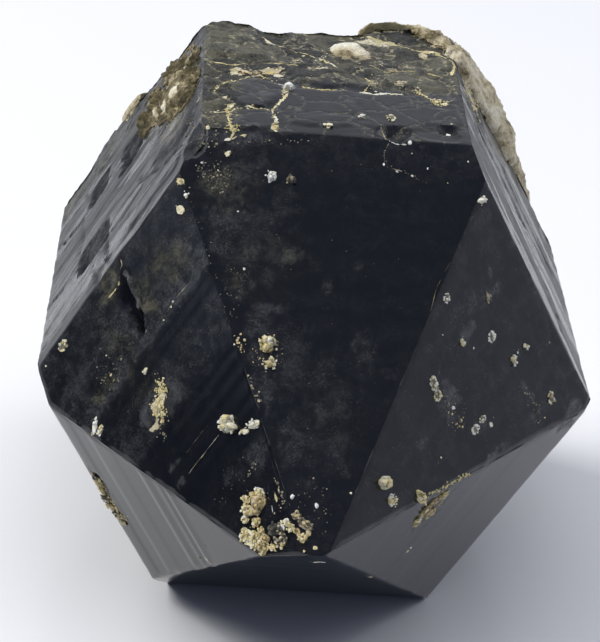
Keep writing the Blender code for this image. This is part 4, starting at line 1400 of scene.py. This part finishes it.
def crumbsOver(place, tone, height, count, rng):
    # small angular grains on a lump
    side, u, y, wide, high, turn = place
    across, up, out, middle = patchFrame(side, u, y, turn)
    crumbs = []
    for k in range(count):
        r, t = math.sqrt(rng.uniform()) * 0.96, rng.uniform(0, 2 * math.pi)
        rise = min(wide, high) * height * dome(r) * 1.1 + 0.02
        size = rng.uniform(0.05, 0.17)
        a, b = spun(across, up, rng.uniform(0, 2 * math.pi))
        axes = np.array([a * size * rng.uniform(0.7, 1.6), b * size, out * size * rng.uniform(0.6, 1.2)])
        at = middle + across * wide * r * math.cos(t) + up * high * r * math.sin(t) + out * rise
        crumbs.append((at, axes, float(np.clip(tone + rng.normal(0, 0.13), 0, 1))))
    return crumbs


def lobesOver(place, kind, rng, tone):
    # lobes spread over an oval patch of a face, or round its rim
    side, u, y, wide, high, turn = place
    count, share, rimOnly, height = kind[:4]
    toneSpread, core = kind[5:7]
    across, up, out, middle = patchFrame(side, u, y, turn)
    small = min(wide, high)
    lobes = []
    if count == 1:
        return [(middle + out * 0.10, np.array([across * wide, up * high, out * small * height]), tone)]
    # a ring of pale lobes round a flat dark core: the pale ring is painted sheen on the rim of a clear grain, the dark
    # core the body seen through it
    if rimOnly:
        axes = np.array([across * wide * 0.85, up * high * 0.85, out * small * 0.28])
        lobes.append((middle + out * 0.02, axes, 0.90))
    elif core:
        axes = np.array([across * wide * core, up * high * core, out * small * height * core])
        lobes.append((middle + out * 0.04, axes, tone))
    golden = 2.39996  # the angle between neighbours that spreads points evenly over a disc
    for k in range(count):
        r = 1.0 if rimOnly else math.sqrt((k + 0.5) / count)
        angle = k * (2 * math.pi / count if rimOnly else golden) + rng.uniform(-0.4, 0.4)
        size = small * share * rng.uniform(0.55, 1.35)
        r *= 1 + 0.14 * math.cos(2 * angle + wide * 40) + rng.uniform(-0.16, 0.06)
        a, b = (wide - size * 0.8) * r * math.cos(angle), (high - size * 0.8) * r * math.sin(angle)
        rise = small * height * dome(min(r, 0.98)) * 0.75 * (not rimOnly) + size * rng.uniform(0.1, 0.5)
        stretch = rng.uniform(0.85, 1.25)
        long, short = spun(across, up, rng.uniform(0, 2 * math.pi))
        axes = np.array([long * size * stretch, short * size / stretch, out * size * 0.9])
        lobes.append((middle + across * a + up * b + out * rise, axes, tone + rng.uniform(-1, 1) * toneSpread))
    return lobes


mineral = makeMineral()
rng = np.random.default_rng(77)
for name, (nodeName, slot) in tipPieces.items():
    lobes, crumbs = [], []
    for *place, tone in rowsOf(tipLumps[nodeName]):
        if slot == "tip_crust" and tone < 0.5:
            tone += 0.10
        lobes += lobesOver(place, tipKind, rng, tone)
        crumbs += crumbsOver(place, tone, tipKind[3], tipKind[-1], rng)
    piece = lobedPiece(name, nodeName, lobes, crumbs, 0.075, 0.10, 60, False)
say("tip crusts grown")

for order, (*place, kindName) in enumerate(rowsOf(grainPlaces)):
    kind = grainKinds[kindName]
    height, tone = kind[3:5]
    lobes = lobesOver(place, kind, rng, tone)
    crumbs = crumbsOver(place, tone, height * 0.9, kind[-1], rng)
    number = "%02d" % (order + 1)
    piece = lobedPiece("paleGrain" + number, "grain_" + number, lobes, crumbs, 0.05, 0.03, order, True)
say("grains grown")


# specks and veins

speckChains = [  # by side: spacing, size, scatter, tone, and the line that the specks follow
    ("top", [
        (0.3, 0.1, 0.16, 0.3, [(-5, 48.6), (-5.8, 45.4), (-6.7, 42.5), (-6.3, 38.8)]),
        (0.3, 0.1, 0.22, 0.34, [(-6.9, 42.4), (-9.5, 42.8), (-11.4, 41.6), (-13.2, 41.4)]),
        (0.3, 0.1, 0.22, 0.34, [(-6.6, 50.8), (-8.1, 52.3), (-10.2, 50.7), (-11.6, 49.9), (-13.1, 46.8)]),
        (0.24, 0.13, 0.22, 0.46, [(-3.4, 49.5), (-2.5, 49.2), (-1.2, 49), (0.2, 49.6)]),
        (0.22, 0.12, 0.16, 0.16, [(2.9, 49.3), (4.2, 49.2), (5.5, 49.4), (7.6, 49.3)]),
        (0.3, 0.11, 0.25, 0.5, [(3.7, 53.4), (4.5, 51.3), (3.2, 49.3)]),
        (0.26, 0.11, 0.22, 0.42, [(8.9, 51), (10.3, 48.9), (11.4, 46.9), (12.5, 48.3)]),
        (0.16, 0.13, 0.4, 0.68, [(-10.2, 53.3), (-9.1, 52.6), (-7, 53.1), (-5.5, 54.6)]),
        (0.2, 0.11, 0.18, 0.4, [(-11.3, 43.8), (-11.5, 41.6), (-11.3, 38.8), (-11, 36.2)]),
        (0.3, 0.06, 0.08, 0.86, [(5.4, 36.3), (4.9, 35.4), (5.3, 34.1), (6.7, 33.7), (8.1, 33.3), (9.3, 32.8)]),
        (0.3, 0.07, 0.12, 0.88, [(-10.8, 35.1), (-9.1, 35.5), (-5.1, 35.6), (-2.9, 36.3)]),
        (0.22, 0.09, 0.3, 0.86, [(-14.5, 33), (-13.6, 32.4), (-12.6, 31.9), (-11.5, 31.5)]),
    ]),
    ("upperLeft", [
        (0.025, 0.085, 0.3, 0.46, [(-3.9, 21.2), (-4.6, 20.4), (-5.3, 20), (-5.9, 19.2), (-6.5, 18.7)]),
        (0.08, 0.13, 0.26, 0.34, [(-3.8, 20.9), (-4.6, 20.3), (-5.5, 19.9), (-5.9, 19.1), (-6.5, 18.8)]),
        (0.07, 0.1, 0.45, 0.56, [(-4.2, 20.9), (-5.2, 20.2), (-6.3, 19.4), (-6.6, 18.8)]),
        (0.16, 0.09, 0.25, 0.86, [(-6.4, 18.3), (-7.2, 18.2), (-7.9, 17.6)]),
        (0.14, 0.08, 0.16, 0.86, [(-0.1, 9.3), (-1.2, 9), (-2.3, 9.1)]),
        (0.08, 0.1, 0.12, 0.86, [(0.1, 6.6), (-0.3, 5.6), (-0.7, 4.7)]),
    ]),
    ("upperRight", [
        (0.1, 0.1, 0.3, 0.66, [(3.2, 18.4), (3.6, 18.3), (4.2, 18.6)]),
        (0.12, 0.1, 0.25, 0.84, [(0.2, 18.4), (1, 18.1), (1.6, 18)]),
        (0.2, 0.1, 0.2, 0.88, [(6.9, 26.4), (8.1, 26.8), (9.6, 27), (10.7, 26.9), (11.7, 26.9)]),
    ]),
    ("lowerLeft", [(0.2, 0.13, 0.36, 0.6, [(1.3, 27.9), (0, 28.3), (-1.6, 28.3), (-3, 27.2), (-3.4, 25.9)])]),
]
speckPatches = [  # by side: u, y, half width, half length, how many, smallest, largest, tone
    ("top", [
        (-12.6, 32.4, 1.8, 1.3, 90, 0.04, 0.11, 0.86), (-13.4, 37.5, 1.3, 3.6, 60, 0.06, 0.16, 0.86),
        (-11, 36.8, 0.9, 0.8, 30, 0.08, 0.18, 0.5), (-10, 21.6, 0.9, 2.4, 26, 0.04, 0.1, 0.92),
        (-6.2, 16.7, 1.6, 1.8, 46, 0.04, 0.1, 0.6), (-8, 27, 5, 5, 26, 0.03, 0.06, 0.9),
        (0, 14, 5, 7, 30, 0.03, 0.06, 0.9), (-1.6, 4, 2.4, 2.6, 46, 0.04, 0.11, 0.88),
        (4, 30, 8, 5, 14, 0.03, 0.06, 0.9), (0, 57, 12, 7, 60, 0.05, 0.13, 0.7),
    ]),
    ("upperLeft", [
        (13.8, 40, 1.3, 4.6, 60, 0.05, 0.14, 0.86), (-8.6, 25.8, 1.5, 1.6, 26, 0.05, 0.12, 0.88),
        (-3.6, 5, 3, 2.6, 80, 0.04, 0.12, 0.86), (-4, 9.5, 3, 1.6, 14, 0.04, 0.08, 0.92),
        (10, 57, 4, 8, 60, 0.08, 0.2, 0.6),
    ]),
    ("upperRight", [
        (2, 18.6, 2.6, 1.4, 70, 0.04, 0.1, 0.88), (2, 24, 8, 6, 30, 0.03, 0.06, 0.9),
        (2, 12, 4, 4, 24, 0.03, 0.08, 0.9), (10.4, 26.6, 1.4, 1, 16, 0.05, 0.1, 0.86),
    ]),
    ("lowerLeft", [(-1, 28, 3.4, 0.8, 60, 0.06, 0.18, 0.6), (-4.6, 15, 3, 3, 14, 0.04, 0.1, 0.84)]),
    ("lowerRight", [(-2.4, 14.4, 3, 1.6, 60, 0.05, 0.13, 0.6)]),
    ("upperRight", [(-13, 60, 3, 8, 60, 0.1, 0.24, 0.34)]),
]
loneSpecks = [  # by side: u, y, size, tone
    ("top", [(-0.8, 4.3, 0.24, 0.06), (-3.2, 4.9, 0.26, 0.12), (-0.8, 0.9, 0.24, 0.3), (2.5, 5.5, 0.15, 0.2)]),
    ("upperLeft", [(-2.1, 0.7, 0.18, 0.4), (-3.9, 2.4, 0.2, 0.3), (-4.1, 2.8, 0.18, 0.34)]),
    ("top", [
        (4.9, 34.2, 0.13, 0.1), (6.3, 33.6, 0.12, 0.16), (7.9, 33.3, 0.12, 0.16), (9.5, 34.1, 0.1, 0.1),
        (7.8, 35.4, 0.08, 0.12), (13.7, 35, 0.09, 0.1), (11.6, 32.9, 0.06, 0.3), (2.8, 42.1, 0.34, 0.06),
        (-0.8, 38.8, 0.34, 0.2), (-1.3, 38.9, 0.22, 0.24), (11.9, 40, 0.34, 0.1), (7.6, 36.4, 0.3, 0.06),
        (-13.5, 36.5, 0.3, 0.24), (-11.4, 35.5, 0.24, 0.14), (-13.9, 33.2, 0.16, 0.12), (-12.2, 32.6, 0.12, 0.2),
        (-9.9, 29, 0.12, 0.14), (-9, 23.9, 0.14, 0.2), (12.3, 41.6, 0.14, 0.2),
    ]),
    ("upperLeft", [
        (2.7, 24.9, 0.12, 0.2), (2.2, 24.7, 0.1, 0.16), (0.6, 24.5, 0.09, 0.3), (-7.4, 27.1, 0.13, 0.6),
        (-7.5, 28, 0.12, 0.86), (-6.2, 25.6, 0.15, 0.84), (-8.3, 25.5, 0.14, 0.6), (-3.1, 26.3, 0.1, 0.86),
        (-14.2, 31.6, 0.12, 0.16),
    ]),
    ("upperRight", [
        (1.8, 18.6, 0.24, 0.04), (2.2, 18.2, 0.16, 0.3), (6.9, 21.5, 0.24, 0.1), (-1, 23.6, 0.14, 0.1),
        (3.7, 27.9, 0.12, 0.08), (-5, 21.2, 0.1, 0.2), (11.9, 27.4, 0.14, 0.7), (6.1, 31.8, 0.14, 0.88),
        (4.6, 15, 0.12, 0.2),
    ]),
    ("lowerRight", [(3.9, 17.1, 0.16, 0.08)]), ("lowerLeft", [(1.9, 27.6, 0.34, 0.36)]),
]
veinRibbons = [  # by side: half width, height, tone and the line of each thin mineral vein
    ("top", [
        (0.15, 0.06, 0.3, [(-5, 48.9), (-5.8, 45.4), (-6.7, 42.5), (-6.3, 38.8), (-6.5, 36.9)]),
        (0.12, 0.05, 0.36, [(-6.9, 42.4), (-8.5, 42.7), (-9.5, 42.8), (-11.4, 41.6), (-13.2, 41.4)]),
        (0.13, 0.05, 0.32, [(-5, 48.9), (-6.6, 50.8), (-8.1, 52.3), (-10.2, 50.7), (-11.6, 49.9), (-13.1, 46.8)]),
        (0.13, 0.06, 0.42, [(-3.4, 49.5), (-2.5, 49.3), (-1.2, 49), (0.2, 49.6), (1.6, 49.5)]),
        (0.22, 0.08, 0.14, [(2.9, 49.3), (4.2, 49.2), (5.5, 49.4), (6.4, 49.2), (7.7, 49.3)]),
        (0.12, 0.05, 0.46, [(3.7, 53.4), (4.3, 52.4), (4.5, 51.3), (3.2, 49.3)]),
        (0.17, 0.05, 0.4, [(8.9, 51), (10.3, 48.9), (11.4, 46.9), (12.5, 48.3), (13.3, 49.6)]),
        (0.15, 0.05, 0.3, [(-8.2, 64), (-5, 61.4), (-3.3, 60.3), (-2.1, 59.4), (-0.4, 57.3), (0.6, 55.4)]),
        (0.15, 0.05, 0.38, [(-10.7, 43.7), (-11.5, 41.6), (-11.3, 38.8), (-11, 36.2), (-11.4, 35.5), (-10.4, 36.1),
            (-9.5, 36.3)]), (0.04, 0.02, 0.6, [(12.1, 25.8), (11.2, 24.5), (10.5, 23), (10, 21.2)]),
        (0.05, 0.03, 0.84, [(5.4, 36.3), (4.9, 35.4), (5, 34.2), (5.6, 33.9), (6.9, 33.7)]),
        (0.12, 0.06, 0.06, [(5.4, 36.5), (6.1, 36), (7.4, 36.2)]),
        (0.4, 0.06, 0.46, [(3.4, 66.4), (4.8, 66.6), (7.4, 65.8), (9.4, 63.5), (12.1, 63.6), (14, 60.1),
            (13.6, 56.4)]), (0.26, 0.07, 0.68, [(-10.4, 53.3), (-9.1, 52.6), (-7, 53.1), (-5.5, 54.6)]),
        (0.16, 0.05, 0.5, [(-13.6, 55.6), (-10.8, 55), (-7.4, 56.4), (-3.6, 56)]),
        (0.1, 0.04, 0.5, [(3.6, 57.6), (6.4, 56.2), (9.6, 57), (12.4, 55)]),
        (0.1, 0.04, 0.84, [(-0.6, 42.4), (1.8, 42.7), (3.4, 41.4), (5, 39.4), (5.8, 37.4)]),
    ]),
    ("upperLeft", [
        (0.09, 0.04, 0.44, [(0.6, 31.9), (0.4, 31.2), (-1, 30.7), (-2.1, 30.5), (-3.3, 30.5)]),
        (0.035, 0.02, 0.24, [(-2.1, 13.4), (-4, 13.4), (-5.8, 13.4), (-7.6, 13.4)]),
        (0.025, 0.02, 0.84, [(-2.5, 14.8), (-4.6, 14.8), (-6.5, 14.8)]),
        (0.55, 0.14, 0.32, [(8.2, 61.4), (9.9, 58), (11.7, 54.3), (13.7, 51.8)]),
        (0.3, 0.1, 0.66, [(5.3, 62.6), (8, 57.3), (11.5, 51.4)]), (0.05, 0.03, 0.12, [(-2, 5.5), (-2.5, 4.9)]),
        (0.17, 0.08, 0.38, [(-0.8, 6), (-1.1, 5.6), (-1.4, 5.1)]),
        (0.05, 0.03, 0.86, [(6.6, 24.6), (4.1, 24.8), (2.5, 24.9), (0.4, 24.7)]),
    ]),
    ("bottom", [
        # two short pale strips on the lower face: painted highlights on small chips near its edges
        (0.08, 0.03, 0.04, [(-0.6, 5.5), (0.2, 5.4), (1, 5.5)]), (0.06, 0.03, 0.2, [(-6.5, 14.4), (-5.6, 14.5)]),
    ]),
]
edgeChains = [  # side, which end of it, y from and to, spacing, size, scatter, tone: specks along a worn edge
    ("top", 0, 20, 31, 0.60, 0.07, 0.25, 0.88),
    ("top", 0, 16.6, 18.4, 0.12, 0.10, 0.30, 0.60),
    ("top", 0, 12.6, 14.8, 0.16, 0.10, 0.35, 0.84),
    ("upperRight", 1, 12, 17, 0.10, 0.11, 0.22, 0.50),
]
speckSettings = {"seed": 4321, "patterns": 4, "longest": 1.5, "sunk": 0.2, "toneSpread": 0.08}
veinSettings = {"spacing": 0.16, "wander": 0.24, "hairlineBelow": 0.06, "hairlineWander": 0.05, "sunk": 0.03}


def speckPlaces(rng, ys, low, high):
    # side, u, y, size and tone of every speck
    places = rowsOf(loneSpecks)
    for side, gap, size, scatter, tone, path in rowsOf(speckChains):
        for (u0, y0), (u1, y1) in zip(path[:-1], path[1:]):
            for t in np.arange(0, 1, gap / math.hypot(u1 - u0, y1 - y0)):
                du, dy = rng.normal(0, scatter, 2)
                u, y = u0 + (u1 - u0) * t + du, y0 + (y1 - y0) * t + dy
                places.append((side, u, y, size * rng.uniform(0.5, 1.4), tone))
    for side, end, y0, y1, gap, size, scatter, tone in edgeChains:
        limit = (low, high)[end][sideNames.index(side)]
        for y in np.arange(y0, y1, gap):
            inward = (0.05 + abs(rng.normal(0, scatter))) * (1 - 2 * end)
            places.append((side, np.interp(y, ys, limit) + inward, y + rng.normal(0, gap * 0.4),
                           size * rng.uniform(0.4, 1.5), tone))
    for side, u, y, ru, ry, count, smallest, largest, tone in rowsOf(speckPatches):
        for k in range(count):
            r, t = math.sqrt(rng.uniform()), rng.uniform(0, 2 * math.pi)
            size = smallest + (largest - smallest) * rng.uniform() ** 2
            places.append((side, u + ru * r * math.cos(t), y + ry * r * math.sin(t), size, tone))
    return places


def makeSpecks():
    s = speckSettings
    rng = np.random.default_rng(s["seed"])
    ys = np.arange(0.5, 76.0, 0.1)
    dist, low, high = sections(ys)
    places = speckPlaces(rng, ys, low, high)
    patterns = [angularGrain(k) for k in range(s["patterns"])]
    stamps, tones = [[] for p in patterns], [[] for p in patterns]
    for side, u, y, size, tone in places:
        i = sideNames.index(side)
        if not np.interp(y, ys, low[i]) < u < np.interp(y, ys, high[i]):
            continue
        across, up, out = faceFrame(side, y)
        a, b = spun(across, up, rng.uniform(0, 2 * math.pi))
        axes = np.array([a * size * rng.uniform(0.8, s["longest"]), b * size, out * size * rng.uniform(0.45, 0.8)])
        which = int(rng.integers(len(patterns)))
        stamps[which].append((onFace(crystalTree, side, u, y) + out * size * s["sunk"], axes))
        tones[which].append(tone + rng.uniform(-1, 1) * s["toneSpread"])
    for k, pattern in enumerate(patterns):
        specks = stampAll(pattern, "paleSpecks%d" % (k + 1), stamps[k])
        addLayer(specks, "tone", np.repeat(tones[k], len(pattern.data.vertices)))
        addLayer(specks, "gap", np.zeros(len(specks.data.vertices)))
        smoothShade(specks, 35)
        specks.data.materials.append(mineral)
        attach(specks, "root")
    removeAll(*patterns)
    return sum(len(v) for v in stamps)


def veinStrip(order, side, half, height, tone, path):
    # a strip three points wide, laid on the face, its middle raised and its width uneven
    s = veinSettings
    us, ys = (np.array(v) for v in zip(*path))
    run = np.concatenate([[0], np.cumsum(np.hypot(np.diff(us), np.diff(ys)))])
    at = np.arange(0, run[-1], s["spacing"])
    wander = s["wander"] if half > s["hairlineBelow"] else s["hairlineWander"]
    pu = np.interp(at, run, us) + wander * rubble(at, at * 0, 1.6, 300 + order)
    py = np.interp(at, run, ys) + wander * rubble(at, at * 0, 1.6, 400 + order)
    du, dy = np.gradient(pu), np.gradient(py)
    length = np.hypot(du, dy)
    width = half * np.clip(0.8 + 0.9 * rubble(at, at * 0, 0.8, 500 + order), 0.06, 2.0)
    width[0] = width[-1] = 0.02
    strip, col, row = gridOf("veinStrip", len(at), 3)
    out = faceFrame(side, float(ys.mean()))[2]
    co = np.zeros((len(col), 3))
    for k, (c, r) in enumerate(zip(col, row - 1)):
        u = pu[c] - dy[c] / length[c] * width[c] * r
        y = py[c] + du[c] / length[c] * width[c] * r
        rise = -s["sunk"] if r else height * min(1, width[c] / half)
        co[k] = (onFace(crystalTree, side, u, y) + out * rise) * mm
    movePoints(strip, co)
    inEdit(strip, faceOutwards)
    if float(triples(strip.data.polygons, "normal").mean(0) @ out) < 0:
        inEdit(strip, ("flip_normals", {}))
    addLayer(strip, "tone", np.clip(tone + 0.16 * rubble(pu[col], py[col], 0.7, 600 + order), 0, 1))
    addLayer(strip, "gap", np.zeros(len(co)))
    return strip


def makeVeins():
    veins = joinAll("paleVeins", [veinStrip(order, *vein) for order, vein in enumerate(rowsOf(veinRibbons))])
    smoothShade(veins, 60)
    veins.data.materials.append(mineral)
    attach(veins, "root")


say("%d specks set" % makeSpecks())
makeVeins()
say("veins laid")


# floor, light and camera

floorSettings = {"size": 3.0, "colour": (0.90, 0.90, 0.905), "patchColour": (0.89, 0.89, 0.895), "gloss": 0.16}
studio = {  # how bright the room is on each side, as the crystal mirrors it
    "tableEdge": (0.07, 0.09, 0.14),
    "leftFront": (0.04, 0.05, 0.08),
    "left": (0.21, 0.25, 0.36),
    "leftBack": (0.42, 0.46, 0.56),
    "right": (0.38, 0.40, 0.48),
    "above": (0.175, 0.20, 0.29),
    "behind": (0.42, 0.44, 0.49),
    "front": (0.10, 0.12, 0.19),
}
lamps = {  # place, size, power, colour, and whether the crystal mirrors it
    "windowLeft": ((-1.0, 0.22, 1.15), 0.9, 21.0, (1.0, 0.99, 0.97), False),
    "windowAbove": ((0.10, -0.10, 1.25), 1.1, 5.6, (1.0, 1.0, 1.0), False),
    "windowRight": ((1.1, 0.35, 0.80), 0.8, 2.4, (1.0, 1.0, 1.0), True),
}
lampsAimAt = Vector((0, 0, 0.02))
photoCamera = {  # fitted to the crystal's edges in the photo
    "place": (-15.794, -194.301 + tipY, 149.239),  # mm
    "right": (0.99649112, -0.01748406, 0.08185199),
    "up": (-0.06500085, 0.45442818, 0.88840865),
    "view": (0.05272884, 0.89061178, -0.45169717),
    "lens": 143.83,
    "sensor": 36,
}


def makeFloor():
    bpy.ops.mesh.primitive_plane_add(size=floorSettings["size"])
    floor = named("whiteTable")
    mat, tree, shader = newMaterial("whiteTableTop")
    tone = noiseOf(tree, inMillimetres(tree), 0.02, 2)
    colour = ramp(tree, tone, [(0.3, floorSettings["patchColour"]), (0.7, floorSettings["colour"])])
    finishMaterial(tree, shader, colour, floorSettings["gloss"])
    floor.data.materials.append(mat)


def makeWorld():
    world = bpy.data.worlds.new("paleStudio")
    bpy.context.scene.world = world
    world.use_nodes = True
    tree = world.node_tree
    coord = addNode(tree, "TexCoord", {})
    split = addNode(tree, "SeparateXYZ", {0: coord.outputs["Generated"]})
    x, y, z = split.outputs
    depth = times(tree, plus(tree, y, 1.0), 0.5, clamp=True)
    left = ramp(tree, depth, [(0.36, studio["leftFront"]), (0.47, studio["left"]), (0.60, studio["leftBack"])])
    left = blend(tree, spread(tree, z, 0.08, 0.15), studio["tableEdge"], left)
    low = blend(tree, spread(tree, x, -0.5, 0.5), left, studio["right"])
    high = blend(tree, spread(tree, z, 0.30, 0.85), low, studio["above"])
    room = blend(tree, spread(tree, y, 0.25, 0.75), high, studio["behind"])
    front = blend(tree, spread(tree, y, -0.80, -0.28), studio["front"], room)
    feed(tree, tree.nodes["Background"].inputs["Color"], front)


def makeLights():
    for name, (place, size, power, colour, mirrored) in lamps.items():
        bpy.ops.object.light_add(type="AREA", location=place)
        lamp = named(name)
        lamp.data.size = size
        lamp.data.energy = power
        lamp.data.color = colour
        lamp.visible_glossy = mirrored
        lamp.rotation_euler = (lampsAimAt - Vector(place)).to_track_quat("-Z", "Y").to_euler()


def makeCamera():
    c = photoCamera
    bpy.ops.object.camera_add()
    cam = named("photoCamera")
    turn = Matrix((c["right"], c["up"], -Vector(c["view"]))).transposed().to_4x4()
    cam.matrix_world = Matrix.Translation(Vector(c["place"]) * mm) @ turn
    cam.data.sensor_fit = "HORIZONTAL"
    cam.data.sensor_width = c["sensor"]
    cam.data.lens = c["lens"]
    cam.data.clip_start = 0.01
    cam.data.clip_end = 10
    bpy.context.scene.camera = cam


makeFloor()
makeWorld()
makeLights()
makeCamera()
bpy.context.scene.view_settings.view_transform = "Standard"
say("studio ready")
